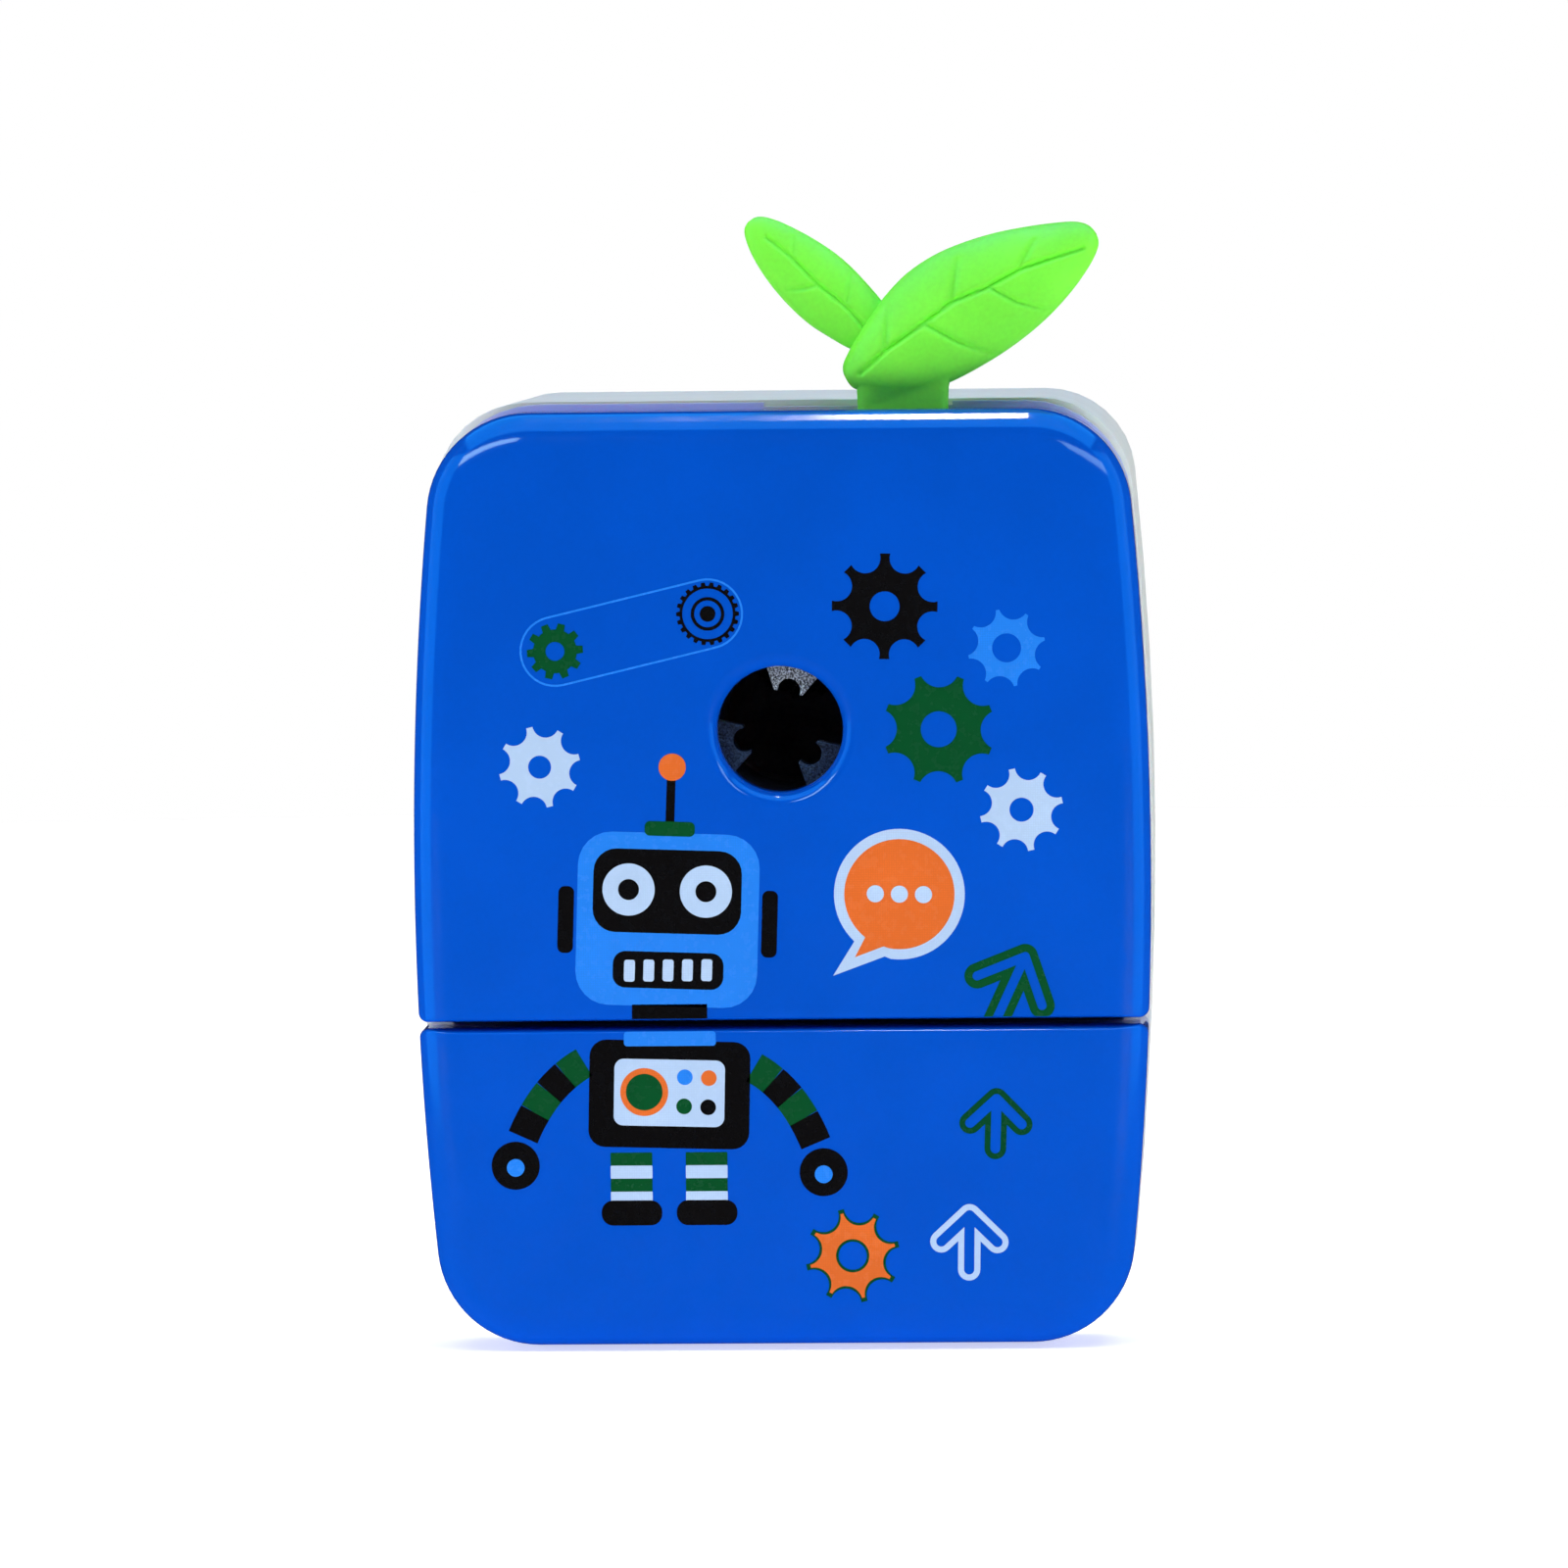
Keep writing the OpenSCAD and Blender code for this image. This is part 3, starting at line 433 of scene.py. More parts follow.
def leaf(name, base, angle, upper, lower, thick, y_mid, veins, tip_bend):
    """Puffy leaf with pressed-in veins.

    upper and lower are stations of (place along the leaf, half width), veins are (points of x and z, depth)
    with the midrib first, and tip_bend is how far the tip leans forward.
    """
    upper, lower = rounded(upper), rounded(lower)
    s0, s1 = upper[0][0], upper[-1][0]
    length = s1 - s0
    along = (math.cos(math.radians(angle)), math.sin(math.radians(angle)))
    across = (-along[1], along[0])
    if across[1] < 0:
        across = (-across[0], -across[1])
    rings, sides = 170, 160
    verts, faces = [], []
    for i in range(1, rings):
        u = 0.5 - 0.5 * math.cos(math.pi * i / rings)
        s = s0 + length * u
        up, down = spread_of(upper, s), spread_of(lower, s)
        body = min(1.0, max(up, down) / FULL_HALF_WIDTH) ** 0.55
        for j in range(sides):
            a = math.tau * j / sides
            c, f = math.cos(a), math.sin(a)
            t = (up if c >= 0 else down) * c
            x = base[0] + along[0] * s + across[0] * t
            z = base[1] + along[1] * s + across[1] * t
            # a full, slightly flattened section, thicker in front
            puff = math.copysign(abs(f) ** 0.78, f) * thick * body * (1.0 if f > 0 else BACK_SHARE)
            groove = 0.0
            if f > 0.05:
                for k, (line, depth) in enumerate(veins):
                    for p, q in zip(line, line[1:]):
                        gap, share = off_line((x, z), p, q)
                        fade = 1.0 if k == 0 or q != line[-1] else 1.0 - 0.5 * share
                        groove = max(groove, depth * fade * math.exp(-(gap / VEIN_WIDTH) ** 2))
                groove *= min(1.0, f * 2.5) * body
            y = y_mid - puff + groove - tip_bend * (u ** 2)
            verts.append((x, y, z))
    for i in range(rings - 2):
        for j in range(sides):
            a, b = i * sides + j, i * sides + (j + 1) % sides
            faces.append([a, b, b + sides, a + sides])
    ends = []
    for i, s in ((0, s0), (rings - 2, s1)):
        ends.append(len(verts))
        verts.append((base[0] + along[0] * s, y_mid - (tip_bend if i else 0), base[1] + along[1] * s))
    for j in range(sides):
        faces.append([ends[0], j, (j + 1) % sides])
        k = (rings - 2) * sides
        faces.append([ends[1], k + (j + 1) % sides, k + j])
    return add_mesh(name, verts, faces, MAT["green"])


LEAF_Y = -47.4
big = leaf(
    "sprout", (7.3, 93.2), 29.9,
    [(-1.0, 0), (-0.95, 0.9), (-0.5, 1.6), (0.4, 2.2), (1.6, 3.0), (3.5, 4.1), (8, 5.8), (11, 6.2),
     (14, 6.05), (18, 5.2), (21.4, 4.0), (24, 2.9), (25.6, 2.1), (26.4, 1.4), (26.75, 0.7), (26.8, 0)],
    [(-1.0, 0), (-0.95, 0.8), (-0.5, 1.4), (0.4, 2.0), (2, 3.2), (4.5, 4.5), (7, 5.2), (10.5, 5.4),
     (14.4, 5.3), (18.4, 4.7), (22, 3.6), (24.6, 2.4), (26.0, 1.5), (26.65, 0.8), (26.8, 0)],
    3.1, LEAF_Y,
    [([(7.8, 93.4), (10.2, 95.6), (13.9, 98.2), (16.6, 100.2), (20.1, 101.6), (23.2, 103.3),
       (29.2, 105.2)], 0.5),
     ([(10.2, 95.6), (10.5, 99.7)], 0.42), ([(16.6, 100.4), (17.2, 104.2)], 0.42),
     ([(23.2, 103.5), (24.6, 106.0)], 0.38), ([(14.1, 98.1), (17.5, 96.2), (20.9, 95.0)], 0.42),
     ([(20.2, 101.6), (22.8, 100.2), (26.0, 99.2)], 0.42)], 0.5)
small = leaf(
    "leaf_small", (10.2, 96.0), 137.5,
    [(-0.6, 0), (0, 1.6), (2, 2.7), (4, 3.1), (8.3, 3.5), (11.7, 3.1), (14.9, 2.3), (16.7, 1.6), (17.6, 0.9),
     (17.8, 0)],
    [(-0.6, 0), (0, 1.6), (2.4, 2.6), (4.3, 3.0), (7.1, 3.5), (10.6, 3.35), (13.5, 2.8), (15.6, 2.1),
     (17.1, 1.3), (17.7, 0.7), (17.8, 0)],
    2.3, LEAF_Y + 0.7,
    [([(-1.1, 106.5), (1.2, 104.7), (3.8, 102.0), (6.4, 99.9), (8.1, 97.9)], 0.4),
     ([(1.4, 104.8), (1.5, 106.5)], 0.3), ([(6.5, 100.3), (7.0, 102.8)], 0.32),
     ([(3.6, 101.9), (2.2, 101.6), (0.7, 101.5)], 0.34)], 0.4)

STEM_X, STEM_Y, STEM_HALF_X, STEM_HALF_Y, STEM_CORNER = 11.8, -47.15, 4.2, 1.85, 0.85
# (height, how far the stem stands out past its plain section)
STEM_SECTIONS = ((86.4, 0.0), (87.2, 0.12), (90.0, 0.12), (92.0, 0.2), (93.4, 0.5), (94.6, 0.75), (96.4, 0.4),
                 (97.2, -1.2))
stem_rings = []
for z, grow in STEM_SECTIONS:
    r = STEM_CORNER
    cx, cy = STEM_HALF_X + grow - r, STEM_HALF_Y + grow * 0.8 - r
    loop = []
    for quarter, (side_x, side_y) in enumerate(((1, 1), (-1, 1), (-1, -1), (1, -1))):
        for i in range(6):
            a = math.radians(90 * quarter + 18 * i)
            loop.append((STEM_X + side_x * cx + r * math.cos(a), STEM_Y + side_y * cy + r * math.sin(a)))
    stem_rings.append((z, loop))
n = len(stem_rings[0][1])
walls = [[i * n + j, i * n + (j + 1) % n, (i + 1) * n + (j + 1) % n, (i + 1) * n + j]
         for i in range(len(stem_rings) - 1) for j in range(n)]
caps = [list(range(n)), list(range((len(stem_rings) - 1) * n, len(stem_rings) * n))]
stem = add_mesh("stem", [(x, y, z) for z, loop in stem_rings for x, y in loop], walls + caps, MAT["green"])
tab = block("tab", (STEM_X - 2.5, -48.0, 84.0), (STEM_X + 2.5, -46.0, 93.0), MAT["green"])
combine(big, [small, stem], "UNION")
combine(big, [tab], "DIFFERENCE")
big.data.shade_smooth()
big.data.set_sharp_from_angle(angle=math.radians(60))
put(big, "release_lever", "green_plastic", "leaf_grip")


# ---- springs ----

def coil(name, centre, axis, radius, wire, turns, length, mat, seats=1.0):
    """Compression spring from centre along axis, with closed end turns."""
    axis = Vector(axis)
    u = Vector((0, 0, 1)) if abs(axis.z) < 0.5 else Vector((1, 0, 0))
    v = axis.cross(u)
    steps, sides = int(turns * 26), 10
    verts, faces = [], []
    for i in range(steps + 1):
        turn = turns * i / steps
        # the end turns lie nearly flat
        ease = min(1.0, turn / seats) ** 2 * 0.5 * seats if turn < seats else 0.5 * seats + (turn - seats)
        rest = turns - turn
        if rest < seats:
            ease = (turns - seats) - (0.5 * seats * (rest / seats) ** 2)
        share = ease / (turns - seats)
        a = math.tau * turn
        out = u * math.cos(a) + v * math.sin(a)
        mid = Vector(centre) + axis * (wire + (length - 2 * wire) * share) + out * radius
        for j in range(sides):
            b = math.tau * j / sides
            verts.append(mid + out * (wire * math.cos(b)) + axis * (wire * math.sin(b)))
    for i in range(steps):
        for j in range(sides):
            a, b = i * sides + j, i * sides + (j + 1) % sides
            faces.append([a, b, b + sides, a + sides])
    faces += [list(range(sides)), list(range(steps * sides, (steps + 1) * sides))]
    obj = add_mesh(name, [tuple(p) for p in verts], faces, mat)
    obj.data.shade_smooth()
    return obj


SPRING_X, SPRING_Y, SPRING_LENGTH = 25, -37.5, 42.0
for side, node in ((-1, "return_spring_left"), (1, "return_spring_right")):
    seat = (side * SPRING_X, SPRING_Y, AXIS_Z)
    spring = coil(node + "_coil", seat, (0, 1, 0), 3.0, 0.35, 14, SPRING_LENGTH, MAT["spring"])
    put(spring, "housing", "spring_steel", node)
    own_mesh(spring)

ring_lo, ring_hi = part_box("ring_spring")
ring_mid = (ring_lo + ring_hi) / 2
ring_len = (ring_hi.x - ring_lo.x) / MM
jaw_spring = coil("jaw_spring_coil", (ring_lo.x / MM, ring_mid.y / MM, ring_mid.z / MM), (1, 0, 0),
                  1.9, 0.25, 9, ring_len, MAT["spring"])
put(jaw_spring, "front_unit", "spring_steel", "ring_spring")
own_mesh(jaw_spring)


# ---- carried-over nodes: finer edges and their own finish ----

DRESS = {
    "housing_shell": ("white", 0.22), "front_bulkhead": ("white", 0.15), "release_ring": ("lever", 0.15),
    "clamp_plate": ("pale", 0.18), "drawer_tray": ("pale", 0.2), "pencil_guide": ("smoke", 0.15),
    "ring_gear": ("smoke", 0.08), "cutter_pinion": ("dark", 0.06), "guide_bushes": ("dark", 0.12),
    "rear_bush": ("dark", 0.12), "rod_clips": ("screw", 0.08), "rubber_feet": ("rubber", 0.3),
    "guide_rod_left": ("rod", 0.15), "guide_rod_right": ("rod", 0.15), "jaw_pins": ("screw", 0.12),
    "bulkhead_screws": ("screw", 0.1), "cover_screws": ("screw", 0.1), "drawer_screws": ("screw", 0.1),
    "gear_screws": ("screw", 0.12), "crank_screw": ("screw", 0.25), "crank_washer": ("screw", 0.12),
    "knob_pin": ("screw", 0.2), "cutter_axle_pin": ("rod", 0.1), "cutter_carrier": ("cast", 0.2),
    "helical_cutter": ("cutter", 0.0), "crank_arm": ("blue_matt", 0.7), "crank_knob": ("white", 0.25),
    # jaw_left and jaw_right take the steel darkened with painted shade for the shade in the pencil hole;
    # jaw_top takes the plain steel
    "jaw_top": ("jaw", 0.16), "jaw_left": ("jaw_painted_shade", 0.16), "jaw_right": ("jaw_painted_shade", 0.16),
}


def dress(node, mat, bevel):
    """Keeps a CAD node's shape, welds its seams and gives it small rounded edges and a finish."""
    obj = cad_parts[node]
    obj.data.materials.clear()
    obj.data.materials.append(MAT[mat])
    weld = obj.modifiers.new("weld", "WELD")
    weld.merge_threshold = 0.004 * MM
    if bevel:
        m = obj.modifiers.new("soft_edges", "BEVEL")
        m.width, m.segments, m.limit_method, m.angle_limit = bevel * MM, 3, "ANGLE", math.radians(38)
        m.use_clamp_overlap = True
    w = obj.modifiers.new("flat_faces", "WEIGHTED_NORMAL")
    w.keep_sharp = False
    w.weight = 90


for node, (mat, bevel) in DRESS.items():
    dress(node, mat, bevel)


# ---- screen-printed pictures, thin films on the front face ----

def circle(x, z, r, n=56):
    return [(x + r * math.cos(math.tau * i / n), z + r * math.sin(math.tau * i / n)) for i in range(n)]


def polar(x, z, r, deg):
    return x + r * math.cos(math.radians(deg)), z + r * math.sin(math.radians(deg))


def panel(x0, z0, x1, z1, r=0.6, turn=0.0):
    """Rectangle with round corners, turned about its centre."""
    loop = []
    corners = ((x1 - r, z1 - r), (x0 + r, z1 - r), (x0 + r, z0 + r), (x1 - r, z0 + r))
    for quarter, (cx, cz) in enumerate(corners):
        loop += [polar(cx, cz, r, 90 * quarter + 15 * i) for i in range(7)]
    mx, mz = (x0 + x1) / 2, (z0 + z1) / 2
    c, s = math.cos(math.radians(turn)), math.sin(math.radians(turn))
    return [(mx + (x - mx) * c - (z - mz) * s, mz + (x - mx) * s + (z - mz) * c) for x, z in loop]


def scooped_gear(x, z, tip, root, teeth, phase, land):
    """Gear outline with round scoops between flat-topped teeth, land wide."""
    half = math.degrees(land / 2 / tip)
    pitch = 360 / teeth
    # circle through the facing corners of two teeth and the scoop's deepest point
    chord = math.dist(polar(0, 0, tip, half), polar(0, 0, tip, pitch - half)) / 2
    sink = tip * math.cos(math.radians(pitch / 2 - half)) - root
    rad = (chord ** 2 + sink ** 2) / (2 * sink)
    span = math.degrees(math.asin(min(1.0, chord / rad)))
    if sink > rad:
        span = 180 - span
    loop = []
    for k in range(teeth):
        a = phase + k * pitch
        mid = a + pitch / 2
        centre = polar(x, z, root + rad, mid)
        loop.append(polar(x, z, tip, a - half))
        loop += [polar(*centre, rad, mid + 180 + (span - 2 * span * i / 14)) for i in range(15)]
    return loop


def square_gear(x, z, tip, root, teeth, phase, share=0.5):
    """Gear outline with straight-sided teeth that narrow a little to the tip."""
    loop = []
    for k in range(teeth):
        a, p = phase + k * 360 / teeth, 360 / teeth
        loop += [polar(x, z, root, a - p * share * 0.62), polar(x, z, tip, a - p * share * 0.4),
                 polar(x, z, tip, a + p * share * 0.4), polar(x, z, root, a + p * share * 0.62),
                 polar(x, z, root, a + p / 2)]
    return loop


def capsule(p, q, r):
    a = math.degrees(math.atan2(q[1] - p[1], q[0] - p[0]))
    return [polar(*end, r, a + start + 10 * i) for end, start in ((q, -90), (p, 90)) for i in range(19)]


def ribbon(points, r0, r1=None):
    """Outline of a band along points, whose half width runs from r0 to r1."""
    r1 = r0 if r1 is None else r1
    left, other = [], []
    for i, (x, z) in enumerate(points):
        (ax, az), (bx, bz) = points[max(i - 1, 0)], points[min(i + 1, len(points) - 1)]
        long = math.hypot(bx - ax, bz - az)
        nx, nz, r = -(bz - az) / long, (bx - ax) / long, r0 + (r1 - r0) * i / (len(points) - 1)
        left.append((x + nx * r, z + nz * r))
        other.append((x - nx * r, z - nz * r))
    return left + other[::-1]


def arrow(tip, turn, half_angle, arm, shaft, r):
    """Outline at distance r around an arrow of three strokes that meet at tip, turned clockwise."""
    h = math.radians(half_angle)
    reach = r * (1 + math.cos(h)) / math.sin(h)
    right_side = [polar(0, 0, r, a) for a in range(90, 90 - int(half_angle) - 1, -6)]
    end = (arm * math.sin(h), -arm * math.cos(h))
    right_side += [polar(*end, r, 90 - half_angle - 15 * i) for i in range(13)]
    right_side.append((r, -r * math.sin(h) - reach * math.cos(h)))
    right_side += [polar(0, -shaft, r, -15 * i) for i in range(7)]
    loop = right_side + [(-x, z) for x, z in reversed(right_side[:-1])][:-1]
    c, s = math.cos(math.radians(turn)), math.sin(math.radians(turn))
    return [(tip[0] + x * c + z * s, tip[1] - x * s + z * c) for x, z in loop]


def above(loop, limit):
    """The part of a loop above a height."""
    out = []
    for (ax, az), (bx, bz) in zip(loop, loop[1:] + loop[:1]):
        if az >= limit:
            out.append((ax, az))
        if (az >= limit) != (bz >= limit):
            out.append((ax + (bx - ax) * (limit - az) / (bz - az), limit))
    return out


FILM, LAYER = 0.02, 0.012


def ink(name, loops, colour, body, layer=0):
    """Film of ink that fills the loops, even-odd, on the cover or the drawer front."""
    curve = bpy.data.curves.new(name, "CURVE")
    curve.dimensions, curve.fill_mode, curve.extrude = "2D", "BOTH", FILM * MM / 2
    for loop in loops:
        spline = curve.splines.new("POLY")
        spline.points.add(len(loop) - 1)
        for point, (x, z) in zip(spline.points, loop):
            point.co = (x * MM, z * MM, 0, 1)
        spline.use_cyclic_u = True
    shape = bpy.data.objects.new(name + ".curve", curve)
    scene.collection.objects.link(shape)
    mesh = bpy.data.meshes.new_from_object(shape.evaluated_get(bpy.context.evaluated_depsgraph_get()))
    bpy.data.objects.remove(shape)
    depth = (Y_FRONT - FILM / 2 - LAYER * layer) * MM
    mesh.transform(Matrix(((1, 0, 0, 0), (0, 0, -1, depth), (0, 1, 0, 0), (0, 0, 0, 1))))
    bm = bmesh.new()
    bm.from_mesh(mesh)
    bmesh.ops.remove_doubles(bm, verts=bm.verts, dist=1e-8)
    bmesh.ops.recalc_face_normals(bm, faces=bm.faces)
    bm.to_mesh(mesh)
    bm.free()
    mesh.materials.clear()
    mesh.materials.append(INK[colour])
    film = bpy.data.objects.new(name, mesh)
    scene.collection.objects.link(film)
    return put(film, body, "blue_plastic")


FRONT = "front_unit"
BELT_A, BELT_B, BELT_R, BELT_LINE = (-21.39, 67.26), (-6.77, 70.72), 3.3, 0.1
belt = [capsule(BELT_A, BELT_B, r) for r in (BELT_R + BELT_LINE, BELT_R - BELT_LINE)]
ink("print_belt", belt, "sky", FRONT)
ink("print_gear_small", [square_gear(*BELT_A, 2.7, 2.1, 10, 4), circle(*BELT_A, 0.9)], "leaf", FRONT)
ink("print_gear_ring", [square_gear(*BELT_B, 3.0, 2.68, 22, 0), circle(*BELT_B, 2.42)], "black", FRONT)
ink("print_gear_hub", [circle(*BELT_B, r) for r in (1.6, 1.28, 0.75)], "black", FRONT)

TEETH = 8
# name, colour, x, z, tip and root radius, first tooth's angle, width of a tooth's tip, radius of the hole
for name, colour, x, z, tip, root, phase, land, hole in (
        ("black", "black", 10.14, 71.3, 5.06, 3.5, 44, 1.0, 1.43),
        ("sky", "sky", 21.73, 67.24, 3.73, 2.75, 13, 0.34, 1.38),
        ("leaf", "leaf", 15.19, 59.52, 5.35, 4.0, 21.5, 0.7, 1.72),
        ("white", "white", 23.02, 51.78, 4.0, 2.87, 13, 0.62, 1.15),
        ("white_left", "white", -22.98, 56.2, 3.92, 2.87, 14, 0.62, 1.1)):
    loops = [scooped_gear(x, z, tip, root, TEETH, phase, land), circle(x, z, hole)]
    ink("print_gear_" + name, loops, colour, FRONT)

LOW_GEAR, LOW_PHASE = (6.5, 9.16), 14
rim = [scooped_gear(*LOW_GEAR, 4.55, 3.2, TEETH, LOW_PHASE, 0.62), circle(*LOW_GEAR, 1.35)]
ink("print_gear_rim", rim, "green", "drawer")
filling = [scooped_gear(*LOW_GEAR, 4.15, 2.95, TEETH, LOW_PHASE, 0.3), circle(*LOW_GEAR, 1.6)]
ink("print_gear_orange", filling, "orange", "drawer", 1)

BUBBLE = (11.29, 43.79)


def from_bubble(point):
    return BUBBLE[0] + point[0], BUBBLE[1] + point[1]


def bubble(r, tail, notch_a, notch_b):
    """Speech bubble: a circle with a pointed tail between two notches, given from its centre."""
    a0 = math.degrees(math.atan2(notch_b[1], notch_b[0]))
    a1 = math.degrees(math.atan2(notch_a[1], notch_a[0])) + 360
    loop = [polar(*BUBBLE, r, a0 + (a1 - a0) * i / 60) for i in range(1, 61)]
    return loop + [from_bubble(tail), from_bubble(notch_b)]


ink("print_bubble", [bubble(6.25, (-6.41, -7.77), (-4.31, -4.45), (-1.45, -5.95))], "white", FRONT)
ink("print_bubble_fill", [bubble(5.27, (-4.31, -6.01), (-3.36, -4.18), (-1.55, -4.98))], "orange", FRONT, 1)
for i in range(3):
    dot = circle(*from_bubble((2.3 * (i - 1), -0.06 * (i - 1))), 0.82, 32)
    ink(f"print_dot_{i}", [dot], "white", FRONT, 2)

SEAM_GAP = 0.3  # bare strip on each side of the seam
seam_arrow = [above(arrow((23.25, 37.73), 25, 43.5, 4.95, 9.0, r), SEAM_Z + SEAM_GAP) for r in (1.22, 0.44)]
green_arrow = [arrow((20.4, 24.12), 2, 46, 3.42, 4.75, r) for r in (1.04, 0.48)]
white_arrow = [arrow((17.72, 12.98), 1, 46.5, 3.7, 5.2, r) for r in (1.07, 0.49)]
ink("print_arrow_seam", seam_arrow, "leaf", FRONT)
ink("print_arrow_green", green_arrow, "green", "drawer")
ink("print_arrow_white", white_arrow, "white", "drawer")

# a plain boxy robot, split by the seam; its head leans by HEAD_TURN and its body by BODY_TURN
HEAD_TURN, BODY_TURN = -2, -1.5
ink("print_head", [panel(-19.6, 33.2, -2.2, 49.8, 3.2, HEAD_TURN)], "sky", FRONT)
ink("print_ears", [panel(-21.4, 38.4, -19.9, 44.8, 0.6, HEAD_TURN)], "black", FRONT)
ink("print_ears_right", [panel(-1.9, 37.8, -0.4, 44.2, 0.6, HEAD_TURN)], "black", FRONT)
ink("print_antenna", [ribbon([(-10.6, 50.2), (-10.4, 55.0)], 0.42)], "black", FRONT)
ink("print_antenna_foot", [panel(-13.0, 49.5, -8.2, 50.9, 0.5, HEAD_TURN)], "leaf", FRONT, 1)
ink("print_antenna_ball", [circle(-10.3, 56.1, 1.3)], "orange", FRONT, 1)
ink("print_face", [panel(-18.0, 40.2, -3.8, 48.2, 2.2, HEAD_TURN)], "black", FRONT, 1)
for i, x in enumerate((-14.6, -7.2)):
    z = 44.3 - 0.035 * (x + 11)
    ink(f"print_eye_{i}", [circle(x, z, 2.5)], "white", FRONT, 2)
    ink(f"print_pupil_{i}", [circle(x, z, 1.0)], "black", FRONT, 3)
ink("print_mouth", [panel(-16.2, 34.9, -5.6, 38.4, 1.2, HEAD_TURN)], "black", FRONT, 1)
for i in range(5):
    x = -14.6 + 1.85 * i
    ink(f"print_tooth_{i}", [panel(x - 0.52, 35.6, x + 0.52, 37.7, 0.25, HEAD_TURN)], "white", FRONT, 2)
ink("print_neck", [panel(-14.4, SEAM_Z + SEAM_GAP, -7.2, 33.4, 0.05)], "black", FRONT)

ink("print_collar", [panel(-15.2, 29.4, -6.4, DRAWER_Z - SEAM_GAP, 0.3)], "sky", "drawer", 1)
ink("print_torso", [panel(-18.6, 19.6, -3.2, 29.9, 1.6, BODY_TURN)], "black", "drawer")
ink("print_chest", [panel(-16.2, 21.7, -5.6, 28.1, 0.9, BODY_TURN)], "white", "drawer", 1)
GAUGE = (-13.3, 25.0)
ink("print_gauge", [circle(*GAUGE, 2.3)], "orange", "drawer", 2)
ink("print_gauge_face", [circle(*GAUGE, 1.75)], "leaf", "drawer", 3)
LAMPS = ((-9.4, 26.4, "sky"), (-7.1, 26.3, "orange"), (-9.5, 23.6, "leaf"), (-7.2, 23.5, "black"))
for i, (x, z, colour) in enumerate(LAMPS):
    ink(f"print_lamp_{i}", [circle(x, z, 0.75, 32)], colour, "drawer", 2)


def bow(a, b, c, t):
    """Point at t of the curve from a to c that is drawn towards b."""
    return tuple((1 - t) ** 2 * p + 2 * t * (1 - t) * q + t * t * r for p, q, r in zip(a, b, c))


for label, side, shoulder, wrist in (("left", -1, (-18.4, 28.2), (-25.3, 19.9)),
                                     ("right", 1, (-3.4, 27.6), (3.4, 19.1))):
    elbow = (shoulder[0] + side * 4.6, shoulder[1] - 2.2)
    arm = [bow(shoulder, elbow, wrist, i / 14) for i in range(15)]
    for k in range(4):
        band = ribbon(arm[1 + 3 * k:5 + 3 * k], 1.5)
        ink(f"print_arm_{label}_{k}", [band], ("leaf", "black")[k % 2], "drawer")
    hand_x = wrist[0] + side * 0.4
    ink(f"print_hand_{label}", [circle(hand_x, wrist[1] - 1.9, 2.3)], "black", "drawer", 1)
    ink(f"print_palm_{label}", [circle(hand_x, wrist[1] - 2.1, 0.85)], "sky", "drawer", 2)
LEG_TOP, STRIPE = 19.2, 1.25
for i, x in enumerate((-14.6, -7.4)):
    for k in range(4):
        top = LEG_TOP - STRIPE * k
        stripe = panel(x - 2.0, top - STRIPE, x + 2.0, top, 0.1)
        ink(f"print_leg_{i}_{k}", [stripe], ("leaf", "white")[k % 2], "drawer")
    ink(f"print_boot_{i}", [panel(x - 2.9, 12.2, x + 2.9, 14.6, 1.1)], "black", "drawer", 1)


# ---- camera, lights and floor ----

def aim(obj, target):
    """Turns an object's -Z towards target, both in metres."""
    obj.rotation_euler = (Vector(target) - obj.location).to_track_quat("-Z", "Y").to_euler()


TARGET = Vector((0.37, Y_FRONT, 54.41)) * MM
DISTANCE, AZIMUTH, ELEVATION, ROLL = 1.0, math.radians(2.25), math.radians(3.11), math.radians(-0.57)
away = Vector((math.sin(AZIMUTH) * math.cos(ELEVATION), -math.cos(AZIMUTH) * math.cos(ELEVATION),
               math.sin(ELEVATION)))
right = (-away).cross(Vector((0, 0, 1))).normalized()
up = right.cross(-away)
cam_x = right * math.cos(ROLL) + up * math.sin(ROLL)
cam_y = up * math.cos(ROLL) - right * math.sin(ROLL)
lens = bpy.data.cameras.new("camera")
lens.lens, lens.sensor_width, lens.clip_start, lens.clip_end = 240.5, 36.0, 0.05, 20.0
camera = bpy.data.objects.new("camera", lens)
scene.collection.objects.link(camera)
place = TARGET + away * DISTANCE
camera.matrix_world = Matrix((
    (cam_x.x, cam_y.x, away.x, place.x), (cam_x.y, cam_y.y, away.y, place.y),
    (cam_x.z, cam_y.z, away.z, place.z), (0, 0, 0, 1)))
scene.camera = camera


def softbox(name, where, target, wide, high, watts, shows="matte", tint=(1, 1, 1)):
    """Area lamp. A matte one lights surfaces but isn't mirrored, a gloss one is only seen mirrored."""
    data = bpy.data.lights.new(name, "AREA")
    data.shape, data.size, data.size_y, data.energy, data.color = "RECTANGLE", wide, high, watts, tint
    lamp = bpy.data.objects.new(name, data)
    scene.collection.objects.link(lamp)
    lamp.location = where
    aim(lamp, target)
    lamp.visible_glossy = shows == "gloss"
    lamp.visible_diffuse = shows == "matte"
    lamp.visible_camera = False


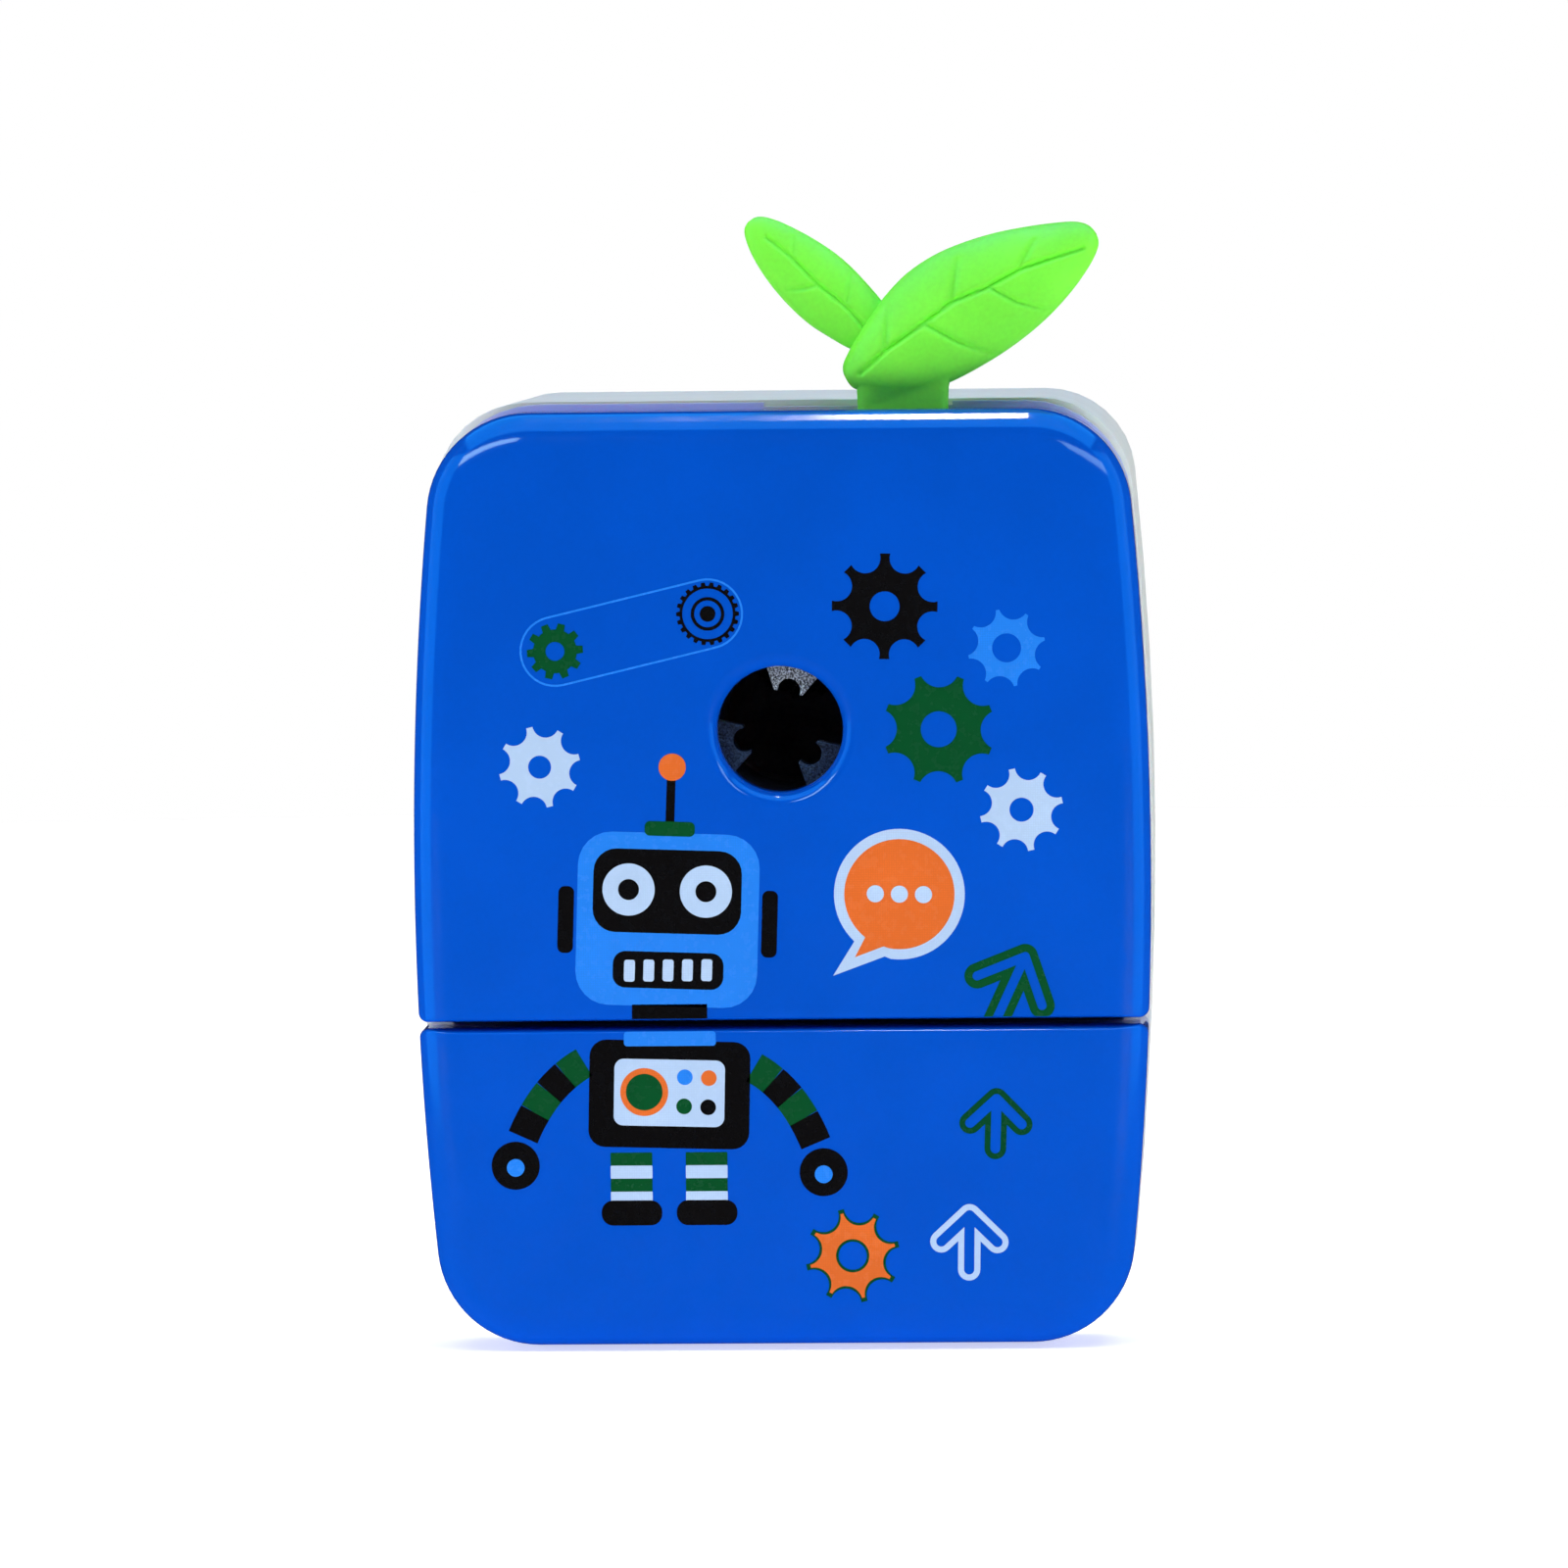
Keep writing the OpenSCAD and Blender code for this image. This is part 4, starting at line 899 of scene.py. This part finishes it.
MIDDLE = (0.0, -0.02, 0.05)
SKY_TINT = (0.5, 0.85, 1.0)
SHEEN_TINT = (0.02, 0.36, 1.0)
softbox("key_top", (0.05, -0.35, 0.95), MIDDLE, 0.9, 0.6, 6.2)
softbox("fill_left", (-0.85, -0.15, 0.3), MIDDLE, 0.3, 0.9, 3.2)
softbox("fill_right", (0.85, -0.15, 0.3), MIDDLE, 0.3, 0.9, 2.8)
softbox("rear_fill", (0.0, 0.85, 0.45), MIDDLE, 1.0, 0.5, 2.5)
softbox("front_fill", (0.0, -1.3, 0.5), MIDDLE, 0.7, 0.5, 0.3)
softbox("sheen_top", (0.0, -0.1, 1.3), MIDDLE, 2.4, 2.0, 85.0, "gloss", SHEEN_TINT)
softbox("sheen_left", (-1.3, -0.5, 0.4), MIDDLE, 1.0, 1.2, 16.0, "gloss", SHEEN_TINT)
softbox("sheen_right", (1.3, -0.5, 0.4), MIDDLE, 1.0, 1.2, 14.0, "gloss", SHEEN_TINT)
softbox("arc_left", (-0.5, -0.92, 0.65), MIDDLE, 0.75, 0.16, 4.5, "gloss", SKY_TINT)
softbox("arc_right", (0.59, -0.92, 0.55), MIDDLE, 0.75, 0.16, 2.4, "gloss", SKY_TINT)
softbox("streak", (-0.005, -0.055, 0.89), (0.012, -0.055, 0.09), 0.4, 0.03, 2.0, "gloss")
softbox("spark", (0.013, -0.055, 0.89), (0.03, -0.055, 0.09), 0.4, 0.0012, 0.15, "gloss")
for side in (-1, 1):
    softbox(f"kick_{side}", (side * 0.12, -0.16, 0.02), (0, -0.05, 0.06), 0.05, 0.05, 0.05)

AMBIENT = 0.03  # the surroundings are white to the camera and dim to everything else
world = bpy.data.worlds.new("studio")
scene.world = world
world.use_nodes = True
wt = world.node_tree
wt.nodes.clear()
ray = wt.nodes.new("ShaderNodeLightPath")
seen, lit = wt.nodes.new("ShaderNodeBackground"), wt.nodes.new("ShaderNodeBackground")
seen.inputs["Color"].default_value = (1, 1, 1, 1)
lit.inputs["Color"].default_value = (1, 1, 1, 1)
lit.inputs["Strength"].default_value = AMBIENT
blend, world_out = wt.nodes.new("ShaderNodeMixShader"), wt.nodes.new("ShaderNodeOutputWorld")
wt.links.new(ray.outputs["Is Camera Ray"], blend.inputs["Fac"])
wt.links.new(lit.outputs["Background"], blend.inputs[1])
wt.links.new(seen.outputs["Background"], blend.inputs[2])
wt.links.new(blend.outputs["Shader"], world_out.inputs["Surface"])

ground = Shade("studio_floor", Specular_IOR_Level=0.0)
ground.colour((243, 243, 242), 0.006, 0.01).rough(0.85, 0.95)
ground.bsdf.inputs["Emission Color"].default_value = (1, 1, 1, 1)
ground.bsdf.inputs["Emission Strength"].default_value = 0.55
FLOOR_R, FLOOR_T = 850.0, 2.0
floor = lathe("floor", [(0.0, FLOOR_R), (-FLOOR_T, FLOOR_R)], ground.mat, 0, 0, 128)
floor.rotation_euler = (math.pi / 2, 0, 0)
floor.visible_glossy = False

scene.view_settings.view_transform = "Standard"
scene.view_settings.look = "None"
